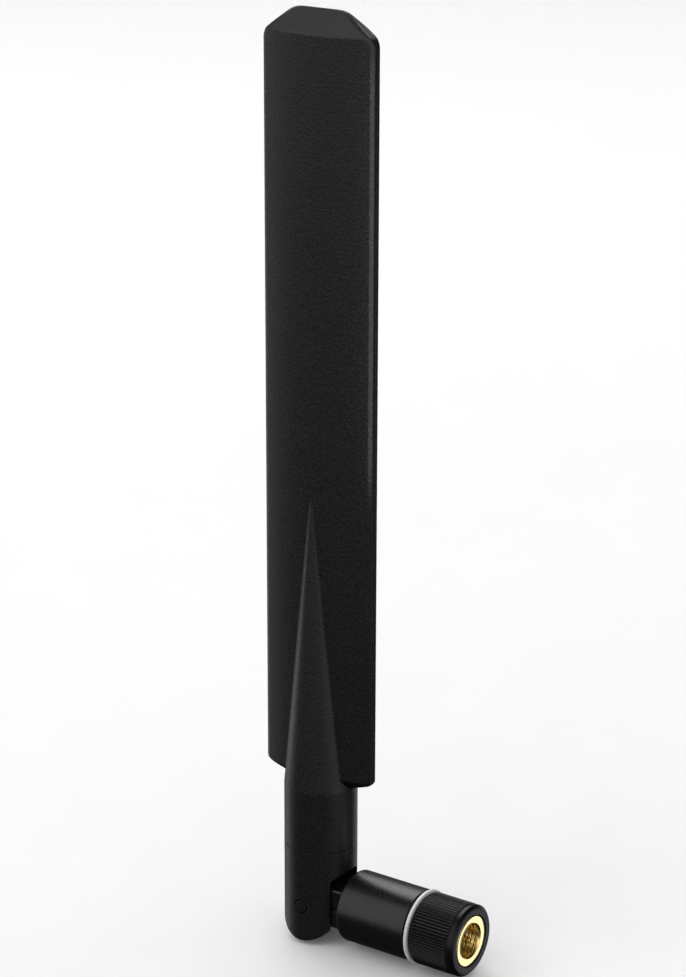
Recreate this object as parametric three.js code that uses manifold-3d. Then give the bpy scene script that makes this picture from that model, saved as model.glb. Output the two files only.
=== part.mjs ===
// Hinged blade antenna for wireless networking equipment, in millimetres.
//
// A flat two-part radome stands on a round neck. The neck's fork turns on two stub pins in the tongue
// of a round base, and the base turns on a screw-on coaxial plug with a knurled sleeve.
// Inside are a printed dipole board, foam pads and a thin coaxial lead that runs through the hinge.
//
// Frame: origin at the centre of the plug's mouth, +X out of the plug, +Z up the blade.
// The pieces are drawn from the hinge pin's centre, and one group then shifts them along X.
import * as THREE from 'three';
import { mergeVertices } from 'three/addons/utils/BufferGeometryUtils.js';
import { ConvexGeometry } from 'three/addons/geometries/ConvexGeometry.js';
import Module from 'manifold-3d';

const wasm = await Module();
wasm.setup();

// ---------------------------------------------------------------- driving dimensions

// Blade
const bladeWidth = 22.2;
const bladeThickness = 5.9;
const bladeTop = 158.4;          // height of the crown above the hinge pin
const bladeBottom = 22.0;        // height of the underside's ridge above the hinge pin
const sideBandThickness = 1.4;   // the flat band around the blade's edge
const edgeBevelWidth = 0.7;
const edgeBevelDepth = 0.45;
const topFacetHeight = 3.9;
const bottomFacetHeight = 2.4;
const ridgeThickness = 0.5;      // the thin flat left where two facets meet
const shoulderCutWidth = 5.85;   // the slanted cut at each upper corner
const shoulderCutHeight = 4.5;
const shoulderTopRadius = 4.0;
const shoulderSideRadius = 2.5;
const heelStart = 5.2;           // from the middle to where the underside starts to rise
const heelRise = 2.08;           // height of the lower corners above the ridge's middle
const heelRadius = 1.0;
const gussetTop = 75.8;          // where the tapering gusset runs out on the blade's face
const gussetTipRadius = 0.25;

// Neck and fork
const neckRadius = 6.5;
const earThickness = 2.35;
const partingHeight = 10.8;      // lower end of the front cover
const mouthSlope = 0.88;         // rise of the fork mouth's ceiling per millimetre outwards
const mouthOffset = 0.9;

// Walls and clearances
const faceWall = 1.1;
const sideWall = 1.9;
const endWall = 1.7;
const neckWall = 1.6;
const seamGap = 0.12;
const hingeClearance = 0.25;
const pinClearance = 0.1;
const fitClearance = 0.05;
const threadClearance = 0.15;

// Hinge tongue and pins
const tongueHalfHeight = 3.75;
const pinRadius = 1.35;
const pinRingWidth = 0.25;
const pinRingDepth = 0.3;
const leadInWidth = 0.9;         // groove that guides the pins into the tongue
const leadInDepth = 0.35;

// Base
const shoulderClearance = 1.1;   // from the fork's round end to the base's shoulder
const barrelInset = 0.05;
const barrelLength = 14.0;
const barrelEdge = 0.5;
const ringStandOff = 0.45;
const ringWidth = 0.55;
const ringProud = 0.25;
const ringToSleeve = 0.1;

// Plug: sleeve and coupling nut
const sleeveFloor = 1.05;        // plastic behind the nut
const sleeveChamfer = 0.5;
const knurlTeeth = 36;
const knurlDepth = 0.25;
const collarLength = 1.3;
const nutRadius = 4.6;
const nutBoreRadius = 3.0;
const nutCountersink = 0.25;
const nutRearWall = 1.3;
const nutRecess = 0.1;
const mouthDepth = 4.3;          // from the mouth to the plug's reference plane

// Plug: coaxial core
const shellWall = 0.25;          // outer contact
const shellStep = 0.45;          // from the outer contact out to the collar
const collarStep = 0.25;         // from the collar out to the nut's bore
const collarLip = 0.3;           // collar in front of the retainer's groove
const retainerWidth = 0.5;
const retainerDepth = 0.3;
const flangeRadius = 4.2;
const flangeWidth = 1.1;
const shankRadius = 2.9;
const shankLength = 5.6;
const stemRadius = 1.25;
const stemLength = 3.6;
const contactRadius = 0.63;
const contactBore = 0.47;
const contactSocketDepth = 2.2;
const contactSetBack = 0.1;      // from the mouth back to the contact's end
const gasketWidth = 0.9;
const gasketSetBack = 0.4;
const ferruleWall = 0.35;
const ferruleLength = 4.6;
const braidSpace = 0.2;          // between stem and ferrule
const crimpClearance = 0.25;

// Radiator board and lead
const boardThickness = 0.6;
const boardClearance = 0.4;
const boardEndClearance = 2.0;
const boardMargin = 3.2;         // bare laminate at each end of the board
const leadSwingHeight = 6.9;     // height in which the lead moves from the middle onto the board's face
const copperThickness = 0.08;
const copperGap = 0.02;
const feedGap = 1.6;
const armLength = 25.0;
const armWidth = 3.6;
const armInset = 2.4;
const driveWidth = 7.0;
const phasingLength = 12.0;
const phasingWidth = 9.0;
const phasingTrace = 1.0;
const phasingTurns = 4;
const leadRadius = 0.685;
const leadBraidRadius = 0.58;
const leadCoreRadius = 0.36;
const leadWireRadius = 0.16;
const leadBendRadius = 3.0;
const leadPlay = 0.6;            // free space round the lead
const leadGap = 0.1;             // between one stretch of the lead and the next
const padLength = 14.0;
const padWidth = 8.0;

// ---------------------------------------------------------------- derived sizes

const halfWidth = bladeWidth / 2;
const halfThickness = bladeThickness / 2;
const halfBand = sideBandThickness / 2;
const faceEdge = halfBand + edgeBevelDepth;
const faceBottom = bladeBottom + bottomFacetHeight;
const faceTop = bladeTop - topFacetHeight;
const slotHalf = neckRadius - earThickness;
const tongueHalf = slotHalf - hingeClearance;
const slotReach = tongueHalfHeight + hingeClearance;
const cavityHalfWidth = halfWidth - sideWall;
const cavityHalfThickness = halfThickness - faceWall;
const cavityEdge = boardThickness / 2 + boardClearance / 2;
const cavityBottom = faceBottom + endWall;
const cavityTop = faceTop - endWall;
const neckBore = neckRadius - neckWall;
const neckBoreBottom = partingHeight + neckWall;

const leadBore = leadRadius + leadPlay;
const boardBottom = cavityBottom + leadSwingHeight;
const boardTop = cavityTop - boardEndClearance;
const boardHalfWidth = cavityHalfWidth - boardClearance;
const copperFace = -boardThickness / 2 - copperGap;
const feedHeight = boardBottom + boardMargin + armLength + feedGap / 2;
const leadFaceY = copperFace - copperThickness - copperGap - leadRadius;
const leadEnd = feedHeight - feedGap * 2;
const braidTop = leadEnd + feedGap;
const wireTop = feedHeight + feedGap;
const braidBeadRadius = leadRadius * 2.4;
const wireBeadRadius = leadRadius * 1.8;

const collarRadius = nutBoreRadius - collarStep;
const shellRadius = collarRadius - shellStep;
const shellBore = shellRadius - shellWall;
const gasketBack = mouthDepth + gasketSetBack + gasketWidth + 2 * fitClearance;
const retainerFront = nutRearWall + 1.5 * retainerWidth;
const nutLength = gasketBack - nutRecess + collarLip + fitClearance + retainerFront;
const sleeveLength = nutRecess + nutLength + sleeveFloor;

const shoulderX = neckRadius + shoulderClearance;
const barrelRadius = neckRadius - barrelInset;
const barrelEnd = shoulderX + barrelLength;
const ringStart = barrelEnd + ringStandOff;
const ringEnd = ringStart + ringWidth;
const sleeveStart = ringEnd + ringToSleeve;
const mouthX = sleeveStart + sleeveLength;
const referenceX = mouthX - mouthDepth;
const contactFront = mouthX - contactSetBack;
const nutFront = mouthX - nutRecess;
const nutBack = nutFront - nutLength;
const flangeFront = ringStart - fitClearance;
const flangeBack = flangeFront - flangeWidth;
const shankBack = flangeBack - shankLength;
const stemBack = shankBack - stemLength;
const ferruleFront = shankBack - leadGap;
const ferruleBack = ferruleFront - ferruleLength;
const ferruleBore = stemRadius + braidSpace;

// ---------------------------------------------------------------- tools

const REACH = 400;               // longer than any piece, for cutting tools

/** A closed three.js geometry as a solid that can be joined and cut. */
function solid(geometry) {
  const bare = geometry.index ? geometry.toNonIndexed() : geometry.clone();
  bare.deleteAttribute('normal');
  bare.deleteAttribute('uv');
  const merged = mergeVertices(bare, 1e-4);
  return new wasm.Manifold(new wasm.Mesh({
    numProp: 3,
    vertProperties: new Float32Array(merged.attributes.position.array),
    triVerts: new Uint32Array(merged.index.array),
  }));
}

/** A solid back as a three.js geometry, with flat shading. */
function geometryOf(body) {
  const mesh = body.getMesh();
  const geometry = new THREE.BufferGeometry();
  geometry.setAttribute('position', new THREE.BufferAttribute(new Float32Array(mesh.vertProperties), 3));
  geometry.setIndex(new THREE.BufferAttribute(new Uint32Array(mesh.triVerts), 1));
  const flat = geometry.toNonIndexed();
  flat.computeVertexNormals();
  return flat;
}

/** Joins a list of solids. */
function joined(list) {
  return list.reduce((sum, next) => sum.add(next));
}

/** A closed outline with each corner [x, y, radius] rounded by its own radius. */
function roundedOutline(corners) {
  const outline = new THREE.Shape();
  corners.forEach(([x, y, radius], i) => {
    const here = new THREE.Vector2(x, y);
    const [bx, by] = corners[(i + corners.length - 1) % corners.length];
    const [ax, ay] = corners[(i + 1) % corners.length];
    const before = new THREE.Vector2(bx, by).sub(here).normalize();
    const after = new THREE.Vector2(ax, ay).sub(here).normalize();
    const halfAngle = Math.acos(THREE.MathUtils.clamp(before.dot(after), -1, 1)) / 2;
    const setBack = radius / Math.tan(halfAngle);
    const start = here.clone().addScaledVector(before, setBack);
    const end = here.clone().addScaledVector(after, setBack);
    if (i === 0) outline.moveTo(start.x, start.y);
    else outline.lineTo(start.x, start.y);
    if (radius > 0) {
      const middle = before.clone().add(after).normalize();
      const centre = here.clone().addScaledVector(middle, radius / Math.sin(halfAngle));
      const from = start.clone().sub(centre).angle();
      const to = end.clone().sub(centre).angle();
      const turn = before.x * after.y - before.y * after.x;
      outline.absarc(centre.x, centre.y, radius, from, to, turn > 0);
    }
  });
  outline.closePath();
  return outline;
}

/** An outline drawn in X and Z, extruded from one Y to another. */
function slabXZ(outline, fromY, toY, curveSegments = 6) {
  const slab = new THREE.ExtrudeGeometry(outline, { depth: toY - fromY, bevelEnabled: false, curveSegments });
  slab.rotateX(Math.PI / 2);
  slab.translate(0, toY, 0);
  return solid(slab);
}

/** A box from one corner to the opposite one. */
function block(x0, x1, y0, y1, z0, z1) {
  const box = new THREE.BoxGeometry(x1 - x0, y1 - y0, z1 - z0);
  box.translate((x0 + x1) / 2, (y0 + y1) / 2, (z0 + z1) / 2);
  return solid(box);
}

/** A closed profile of [along, radius] points turned about the X axis. */
function turned(profile, sides = 40) {
  const area = profile.reduce((sum, [x0, r0], i) => {
    const [x1, r1] = profile[(i + 1) % profile.length];
    return sum + (x0 * r1 - x1 * r0) / 2;
  }, 0);
  const ordered = area < 0 ? profile : [...profile].reverse();
  const points = [...ordered, ordered[0]].map(([x, r]) => new THREE.Vector2(r, x));
  const lathe = new THREE.LatheGeometry(points, sides);
  lathe.rotateZ(-Math.PI / 2);
  return solid(lathe);
}

/** A straight rod along X. */
function rodX(fromX, toX, radius, sides = 40) {
  return turned([[fromX, 0], [toX, 0], [toX, radius], [fromX, radius]], sides);
}

/** A straight rod along Y, through the hinge. */
function rodY(fromY, toY, radius, sides = 32) {
  return rodX(fromY, toY, radius, sides).rotate([0, 0, 90]);
}

/** A straight rod along Z, up the neck's middle. */
function rodZ(fromZ, toZ, radius, sides = 40) {
  return rodX(fromZ, toZ, radius, sides).rotate([0, -90, 0]);
}

/** A round cable along a curve. */
function cable(curve, radius, steps, sides = 10) {
  const section = new THREE.Shape();
  for (let i = 0; i < sides; i += 1) {
    const angle = (2 * Math.PI * i) / sides;
    const x = radius * Math.cos(angle);
    const y = radius * Math.sin(angle);
    if (i === 0) section.moveTo(x, y);
    else section.lineTo(x, y);
  }
  section.closePath();
  return solid(new THREE.ExtrudeGeometry(section, { steps, extrudePath: curve, bevelEnabled: false }));
}

// ---------------------------------------------------------------- materials

function finish(color, roughness, metalness = 0) {
  return new THREE.MeshStandardMaterial({ color, roughness, metalness });
}

const casePlastic = finish(0x1c1c1e, 0.55);
const sleevePlastic = finish(0x14151c, 0.5);
const ringPlastic = finish(0xc9c9c6, 0.5);
const pinPlastic = finish(0x171718, 0.45);
const goldPlate = finish(0xe8c878, 0.28, 1);
const springBronze = finish(0xa9763a, 0.35, 1);
const contactResin = finish(0xeeeee8, 0.6);
const siliconeRed = finish(0x8c2a1c, 0.6);
const boardLaminate = finish(0x1f5a34, 0.55);
const copperFoil = finish(0xc27a4a, 0.35, 1);
const solderTin = finish(0xb9bcc0, 0.3, 1);
const leadJacket = finish(0x2a2a2c, 0.5);
const leadBraid = finish(0xa8a9ab, 0.4, 1);
const leadCore = finish(0xe6e4dc, 0.5);
const foamBlack = finish(0x2d2d2e, 0.95);
const crimpNickel = finish(0xb4b2aa, 0.35, 1);

// ---------------------------------------------------------------- radome: blade, gussets, neck, fork

/** Half-thickness of a lens-shaped section at a distance from its middle. */
function lens(x, half, middle, edge) {
  return edge + (middle - edge) * (1 - (x / half) ** 2);
}

/** Points round a lens-shaped section at one height. */
function lensPoints(z, half, middle, edge, steps = 12) {
  const points = [];
  for (let i = 0; i <= steps; i += 1) {
    const x = half * (2 * i / steps - 1);
    const y = lens(x, half, middle, edge);
    points.push(new THREE.Vector3(x, -y, z), new THREE.Vector3(x, y, z));
  }
  return points;
}

/** The blade before its corners are cut: crowned faces, bevelled edges, sloping ends. */
function bladeBlank() {
  const faceHalf = halfWidth - edgeBevelWidth;
  const points = [];
  for (const z of [faceBottom, faceTop]) {
    points.push(...lensPoints(z, faceHalf, halfThickness, faceEdge));
    for (const x of [-halfWidth, halfWidth]) {
      points.push(new THREE.Vector3(x, -halfBand, z), new THREE.Vector3(x, halfBand, z));
    }
  }
  for (const z of [bladeBottom, bladeTop]) {
    for (const x of [-halfWidth, halfWidth]) {
      for (const y of [-ridgeThickness / 2, ridgeThickness / 2]) points.push(new THREE.Vector3(x, y, z));
    }
  }
  return solid(new ConvexGeometry(points));
}

/** The blade's front outline: slanted upper corners and rounded heels. */
function bladeOutline() {
  const right = [
    [heelStart, bladeBottom, 0],
    [halfWidth, bladeBottom + heelRise, heelRadius],
    [halfWidth, bladeTop - shoulderCutHeight, shoulderSideRadius],
    [halfWidth - shoulderCutWidth, bladeTop, shoulderTopRadius],
  ];
  const left = [...right].reverse().map(([x, z, r]) => [-x, z, r]);
  return roundedOutline([...right, ...left]);
}

/** A cone that leans from the neck's circle to a tip on one face of the blade. */
function gusset(side) {
  const height = gussetTop - bladeBottom;
  const cone = new THREE.CylinderGeometry(gussetTipRadius, neckRadius, height, 40);
  cone.rotateX(Math.PI / 2);
  cone.translate(0, 0, height / 2);
  const lean = side * (halfThickness - gussetTipRadius) / height;
  const shear = new THREE.Matrix4().makeShear(0, 0, 0, 0, 0, lean);
  cone.applyMatrix4(shear);
  cone.translate(0, 0, bladeBottom);
  return solid(cone);
}

/** The neck, rounded off about the hinge pin at its lower end. */
function neckBlank() {
  const post = rodZ(-neckRadius, bladeBottom, neckRadius);
  const above = block(-REACH, REACH, -REACH, REACH, 0, REACH);
  const roundEnd = rodY(-REACH, REACH, neckRadius, 48);
  return post.intersect(above.add(roundEnd));
}

/** The space in the fork: round behind the pin, open outwards and down, with a sloping ceiling. */
function forkSlot() {
  const ceilingStart = (slotReach - mouthOffset) / mouthSlope;
  const outline = new THREE.Shape();
  outline.moveTo(-slotReach, -REACH);
  outline.lineTo(REACH, -REACH);
  outline.lineTo(REACH, mouthSlope * REACH + mouthOffset);
  outline.lineTo(ceilingStart, slotReach);
  outline.lineTo(0, slotReach);
  outline.absarc(0, 0, slotReach, Math.PI / 2, Math.PI, false);
  outline.closePath();
  return slabXZ(outline, -slotHalf, slotHalf, 12);
}

/** The hollow for the board, and the bore that the lead climbs from the fork. */
function radomeHollow() {
  const cavity = solid(new ConvexGeometry([
    ...lensPoints(cavityBottom, cavityHalfWidth, cavityHalfThickness, cavityEdge),
    ...lensPoints(cavityTop, cavityHalfWidth, cavityHalfThickness, cavityEdge),
  ]));
  const neckHollow = rodZ(neckBoreBottom, faceBottom - neckWall, neckBore, 32);
  const leadWay = rodZ(0, cavityBottom + neckWall, leadBore, 20);
  return joined([cavity, neckHollow, leadWay, leadChannel()]);
}

/** The channel in the front cover over the lead and its two solder joints. */
function leadChannel() {
  const half = braidBeadRadius + leadGap;
  const depth = leadFaceY - leadRadius - leadGap;
  return block(-half, half, depth, 0, cavityBottom + leadGap, wireTop + half);
}

function radome() {
  const blade = bladeBlank().intersect(slabXZ(bladeOutline(), -REACH, REACH));
  const whole = joined([blade, gusset(-1), gusset(1), neckBlank()]);
  const pinHoles = rodY(-REACH, REACH, pinRadius + fitClearance);
  return whole.subtract(forkSlot()).subtract(radomeHollow()).subtract(pinHoles);
}

/** The space that the front cover fills: in front of the seam and above the parting line. */
function frontSide(gap) {
  return block(-REACH, REACH, -REACH, -gap, partingHeight + gap, REACH);
}

const radomeBody = radome();
const rearHousing = radomeBody.subtract(frontSide(0));
const frontCover = radomeBody.intersect(frontSide(seamGap));

/** A stub pin from the outside of one ear into the tongue, with a ring groove round its head. */
function hingePin(side) {
  const inner = leadBore + 2 * leadGap;
  const groove = neckRadius - pinRingDepth;
  const grooveRadius = pinRadius - pinRingWidth;
  const faceRadius = grooveRadius - pinRingWidth;
  const pin = turned([
    [inner, 0], [neckRadius, 0], [neckRadius, faceRadius], [groove, faceRadius],
    [groove, grooveRadius], [neckRadius, grooveRadius], [neckRadius, pinRadius], [inner, pinRadius],
  ], 32).rotate([0, 0, 90 * side]);
  return pin.intersect(rodZ(-neckRadius, neckRadius, neckRadius));
}

// ---------------------------------------------------------------- base

/** The base's barrel and tongue, before they are hollowed. */
function baseBlank() {
  const barrel = turned([
    [shoulderX, 0], [barrelEnd, 0], [barrelEnd, barrelRadius - barrelEdge / 2],
    [barrelEnd - barrelEdge / 2, barrelRadius], [shoulderX + barrelEdge, barrelRadius],
    [shoulderX, barrelRadius - barrelEdge],
  ]);
  const bar = block(0, shoulderX + barrelEdge, -tongueHalf, tongueHalf, -tongueHalfHeight, tongueHalfHeight);
  const tip = rodY(-tongueHalf, tongueHalf, tongueHalfHeight, 40);
  const withinBarrel = rodX(-REACH, REACH, barrelRadius - barrelEdge / 2);
  return barrel.add(bar.add(tip).intersect(withinBarrel));
}

/** The way the lead needs through the tongue, from straight up round to straight back. */
function leadSweep() {
  const halfWay = leadBore + leadGap;
  const up = block(-halfWay, halfWay, -halfWay, halfWay, 0, REACH);
  const back = block(-REACH, 0, -halfWay, halfWay, -halfWay, halfWay);
  const between = block(-REACH, 0, -halfWay, halfWay, 0, REACH);
  const bend = rodY(-halfWay, halfWay, leadBendRadius, 24);
  const aboveAxis = block(-REACH, REACH, -REACH, REACH, -halfWay, REACH);
  return joined([up, back, between, bend.intersect(aboveAxis)]);
}

function baseHousing() {
  const leadWay = rodX(0, barrelEnd, leadBore, 20);
  const crimpRadius = ferruleBore + ferruleWall + crimpClearance;
  const crimpRoom = rodX(ferruleBack - crimpClearance, barrelEnd, crimpRadius, 24);
  const shankBore = rodX(shankBack - fitClearance, REACH, shankRadius + fitClearance);
  const flangeSeat = rodX(flangeBack - fitClearance, REACH, flangeRadius + fitClearance);
  const pinBore = rodY(-REACH, REACH, pinRadius + pinClearance);
  const grooves = [-1, 1].map((side) => {
    const y0 = side < 0 ? -tongueHalf - 1 : tongueHalf - leadInDepth;
    return block(0, shoulderX, y0, y0 + leadInDepth + 1, -leadInWidth / 2, leadInWidth / 2);
  });
  return [leadWay, crimpRoom, shankBore, flangeSeat, pinBore, leadSweep(), ...grooves]
    .reduce((rest, cut) => rest.subtract(cut), baseBlank());
}

/** The pale friction ring between base and sleeve, with a hub that fills the gap behind it. */
function frictionRing() {
  const bore = collarRadius + threadClearance;
  const outer = barrelRadius + ringProud;
  return turned([
    [ringStart, bore], [ringEnd, bore], [ringEnd, outer - ringProud / 2],
    [ringEnd - ringProud / 2, outer], [ringStart + ringProud / 2, outer], [ringStart, outer - ringProud / 2],
  ]);
}

// ---------------------------------------------------------------- plug

/** The knurled sleeve: straight flutes, a plain collar and a chamfered front. */
function knurledSleeve() {
  const collarStart = mouthX - collarLength;
  const flutes = new THREE.Shape();
  for (let i = 0; i < knurlTeeth * 2; i += 1) {
    const angle = (Math.PI * i) / knurlTeeth;
    const radius = barrelRadius - (i % 2 ? knurlDepth : 0);
    const place = [radius * Math.cos(angle), radius * Math.sin(angle)];
    if (i === 0) flutes.moveTo(...place);
    else flutes.lineTo(...place);
  }
  flutes.closePath();
  const fluted = new THREE.ExtrudeGeometry(flutes, { depth: collarStart - sleeveStart, bevelEnabled: false });
  fluted.rotateY(Math.PI / 2);
  fluted.translate(sleeveStart, 0, 0);
  const collar = turned([
    [collarStart - knurlDepth, 0], [mouthX, 0], [mouthX, barrelRadius - sleeveChamfer],
    [mouthX - sleeveChamfer, barrelRadius], [collarStart, barrelRadius],
    [collarStart - knurlDepth, barrelRadius - 2 * knurlDepth],
  ]);
  const nutSeat = rodX(nutBack - fitClearance, REACH, nutRadius + fitClearance);
  const rearBore = rodX(-REACH, REACH, collarRadius + 3 * threadClearance);
  return solid(fluted).add(collar).subtract(nutSeat).subtract(rearBore);
}

/** The coupling nut: countersunk bore, retainer groove and a rear wall that the plug's body passes. */
function couplingNut() {
  const shoulder = nutBack + nutRearWall;
  const rearBore = collarRadius + threadClearance;
  return turned([
    [nutBack, rearBore], [nutBack, nutRadius], [nutFront - nutCountersink, nutRadius],
    [nutFront, nutRadius - nutCountersink / 2], [nutFront, nutBoreRadius + nutCountersink],
    [nutFront - nutCountersink, nutBoreRadius], [shoulder + retainerWidth * 2, nutBoreRadius],
    [shoulder + retainerWidth * 2, nutBoreRadius + retainerDepth],
    [shoulder, nutBoreRadius + retainerDepth], [shoulder, rearBore],
  ]);
}

/** The plug's gold-plated body: outer contact, collar with a retainer groove, flange, shank, stem. */
function plugBody() {
  const collarFront = mouthX - gasketBack;
  const grooveFront = nutBack + retainerFront + fitClearance;
  const grooveBack = grooveFront - retainerWidth - 2 * fitClearance;
  const boreEnd = flangeFront;
  return turned([
    [referenceX, shellBore], [referenceX, shellRadius], [collarFront, shellRadius],
    [collarFront, collarRadius], [grooveFront, collarRadius], [grooveFront, collarRadius - retainerDepth],
    [grooveBack, collarRadius - retainerDepth], [grooveBack, collarRadius],
    [flangeFront, collarRadius], [flangeFront, flangeRadius], [flangeBack, flangeRadius],
    [flangeBack, shankRadius], [shankBack, shankRadius], [shankBack, stemRadius], [stemBack, stemRadius],
    [stemBack, leadCoreRadius + fitClearance], [boreEnd, leadCoreRadius + fitClearance],
    [boreEnd, shellBore],
  ]);
}

/** The split spring ring that holds the nut on the plug's body. */
function retainerRing() {
  const front = nutBack + retainerFront;
  const inner = collarRadius - retainerDepth + fitClearance;
  const outer = nutBoreRadius + retainerDepth - fitClearance;
  const ring = turned([
    [front, inner], [front, outer], [front - retainerWidth, outer], [front - retainerWidth, inner],
  ], 32);
  const split = block(-REACH, REACH, -retainerWidth / 2, retainerWidth / 2, 0, REACH);
  return ring.subtract(split);
}

/** The sealing ring round the outer contact. */
function sealingGasket() {
  const front = referenceX - gasketSetBack;
  const outer = nutBoreRadius - threadClearance;
  return turned([
    [front, shellRadius + fitClearance], [front, outer], [front - gasketWidth, outer],
    [front - gasketWidth, shellRadius + fitClearance],
  ], 32);
}

/** The white resin bead that centres the contact. */
function contactBead() {
  const back = flangeFront + fitClearance;
  const outer = shellBore - fitClearance;
  const inner = contactRadius + fitClearance;
  return turned([[back, inner], [back, outer], [referenceX, outer], [referenceX, inner]], 32);
}

/** The centre contact: a socket at the mouth and a solder cup for the lead at the back. */
function centreContact() {
  const back = flangeFront + fitClearance + leadGap;
  return turned([
    [back, 0], [back, contactRadius], [contactFront, contactRadius], [contactFront, contactBore],
    [contactFront - contactSocketDepth, contactBore], [contactFront - contactSocketDepth, 0],
  ], 20);
}

/** The crimped tube that grips the lead's braid on the stem. */
function crimpFerrule() {
  const outer = ferruleBore + ferruleWall;
  return turned([
    [ferruleBack, ferruleBore], [ferruleBack, outer], [ferruleFront, outer], [ferruleFront, ferruleBore],
  ], 24);
}

// ---------------------------------------------------------------- lead

function straight(from, to) {
  return new THREE.LineCurve3(new THREE.Vector3(...from), new THREE.Vector3(...to));
}

/** The lead in the base, from the plug's stem to the hinge. */
function leadInBase() {
  return cable(straight([leadBendRadius + leadGap, 0, 0], [stemBack - leadGap, 0, 0]), leadRadius, 1);
}

/** The bend through the hinge. */
function leadInHinge() {
  const quarter = new THREE.QuadraticBezierCurve3(
    new THREE.Vector3(leadBendRadius, 0, 0),
    new THREE.Vector3(0, 0, 0),
    new THREE.Vector3(0, 0, leadBendRadius),
  );
  return cable(quarter, leadRadius, 10);
}

/** The lead up the neck, and forward onto the face of the board. */
function leadInBlade() {
  const jogStart = new THREE.Vector3(0, 0, cavityBottom + leadGap);
  const jogEnd = new THREE.Vector3(0, leadFaceY, boardBottom - boardClearance);
  const swing = (jogEnd.z - jogStart.z) / 2;
  const route = new THREE.CurvePath();
  route.add(new THREE.LineCurve3(new THREE.Vector3(0, 0, leadBendRadius + leadGap), jogStart));
  route.add(new THREE.CubicBezierCurve3(
    jogStart,
    jogStart.clone().setZ(jogStart.z + swing),
    jogEnd.clone().setZ(jogEnd.z - swing),
    jogEnd,
  ));
  route.add(new THREE.LineCurve3(jogEnd, new THREE.Vector3(0, leadFaceY, leadEnd)));
  return cable(route, leadRadius, 44, 8);
}

/** The bared end of the lead: braid, then core, then wire. */
function leadEndPiece(fromZ, toZ, radius) {
  return cable(straight([0, leadFaceY, fromZ], [0, leadFaceY, toZ]), radius, 1);
}

// ---------------------------------------------------------------- radiator board

function radiatorBoard() {
  const outline = roundedOutline([
    [-boardHalfWidth, boardBottom, 1], [boardHalfWidth, boardBottom, 1],
    [boardHalfWidth, boardTop, 3], [-boardHalfWidth, boardTop, 3],
  ]);
  return slabXZ(outline, -boardThickness / 2, boardThickness / 2);
}

/** A rectangle of foil on the board's front face. */
function foil(x0, x1, z0, z1) {
  return block(x0, x1, copperFace - copperThickness, copperFace, z0, z1);
}

/** The lower half of the dipole: two legs beside the lead, joined at the feed. */
function groundArm() {
  const top = feedHeight - feedGap / 2;
  const outer = armInset + armWidth;
  return joined([
    foil(-outer, -armInset, top - armLength, top),
    foil(armInset, outer, top - armLength, top),
    foil(-outer, outer, top - armWidth / 2, top),
  ]);
}

/** The upper half of the dipole, the folded phasing line and the second radiator above it. */
function radiatorArm() {
  const start = feedHeight + feedGap / 2;
  const lineStart = start + armLength;
  const pitch = phasingLength / phasingTurns;
  const strips = [foil(-driveWidth / 2, driveWidth / 2, start, lineStart)];
  for (let i = 0; i <= phasingTurns; i += 1) {
    const z = lineStart + pitch * i;
    strips.push(foil(-phasingWidth / 2, phasingWidth / 2, z, z + phasingTrace));
    const side = i % 2 ? -1 : 1;
    const edge = side * phasingWidth / 2;
    const inner = edge - side * phasingTrace;
    if (i < phasingTurns) strips.push(foil(Math.min(edge, inner), Math.max(edge, inner), z, z + pitch));
  }
  const second = lineStart + phasingLength;
  strips.push(foil(-driveWidth / 2, driveWidth / 2, second, boardTop - boardMargin));
  return joined(strips);
}

/** A low round-shouldered bead of solder on the foil. */
function solderBead(z, reach, coveredRadius) {
  const bead = new THREE.SphereGeometry(1, 14, 10);
  bead.scale(reach, 2 * leadRadius, feedGap / 2 - leadGap);
  const face = copperFace - copperThickness - copperGap;
  bead.translate(0, face, z);
  const front = block(-REACH, REACH, -REACH, face, -REACH, REACH);
  return solid(bead).intersect(front).subtract(leadEndPiece(0, REACH, coveredRadius + leadGap / 2));
}

function foamPad(z) {
  const back = boardThickness / 2 + fitClearance;
  const front = lens(padWidth / 2, cavityHalfWidth, cavityHalfThickness, cavityEdge) - fitClearance;
  return block(-padWidth / 2, padWidth / 2, back, front, z - padLength / 2, z + padLength / 2);
}

// ---------------------------------------------------------------- assembly

const fromHinge = new THREE.Group();
fromHinge.position.x = -mouthX;

function add(name, body, material) {
  const mesh = new THREE.Mesh(geometryOf(body), material);
  mesh.name = name;
  fromHinge.add(mesh);
}


add('rear_housing', rearHousing, casePlastic);
add('front_cover', frontCover, casePlastic);
add('hinge_pin_front', hingePin(-1), pinPlastic);
add('hinge_pin_back', hingePin(1), pinPlastic);
add('radiator_board', radiatorBoard(), boardLaminate);
add('dipole_ground_arm', groundArm(), copperFoil);
add('dipole_radiator_arm', radiatorArm(), copperFoil);
add('foam_pad_upper', foamPad(boardTop - padLength), foamBlack);
add('foam_pad_lower', foamPad(boardBottom + padLength), foamBlack);
add('lead_in_blade', leadInBlade(), leadJacket);
add('lead_braid_end', leadEndPiece(leadEnd + leadGap, braidTop, leadBraidRadius), leadBraid);
add('lead_core_end', leadEndPiece(braidTop + leadGap, feedHeight, leadCoreRadius), leadCore);
add('lead_wire_end', leadEndPiece(feedHeight + leadGap, wireTop, leadWireRadius), copperFoil);
add('solder_braid', solderBead(leadEnd + feedGap / 2, braidBeadRadius, leadBraidRadius), solderTin);
add('solder_wire', solderBead(wireTop, wireBeadRadius, leadWireRadius), solderTin);
add('lead_in_hinge', leadInHinge(), leadJacket);
add('base_housing', baseHousing(), casePlastic);
add('lead_in_base', leadInBase(), leadJacket);
add('friction_ring', frictionRing(), ringPlastic);
add('plug_body', plugBody(), goldPlate);
add('contact_bead', contactBead(), contactResin);
add('centre_contact', centreContact(), goldPlate);
add('crimp_ferrule', crimpFerrule(), crimpNickel);
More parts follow.
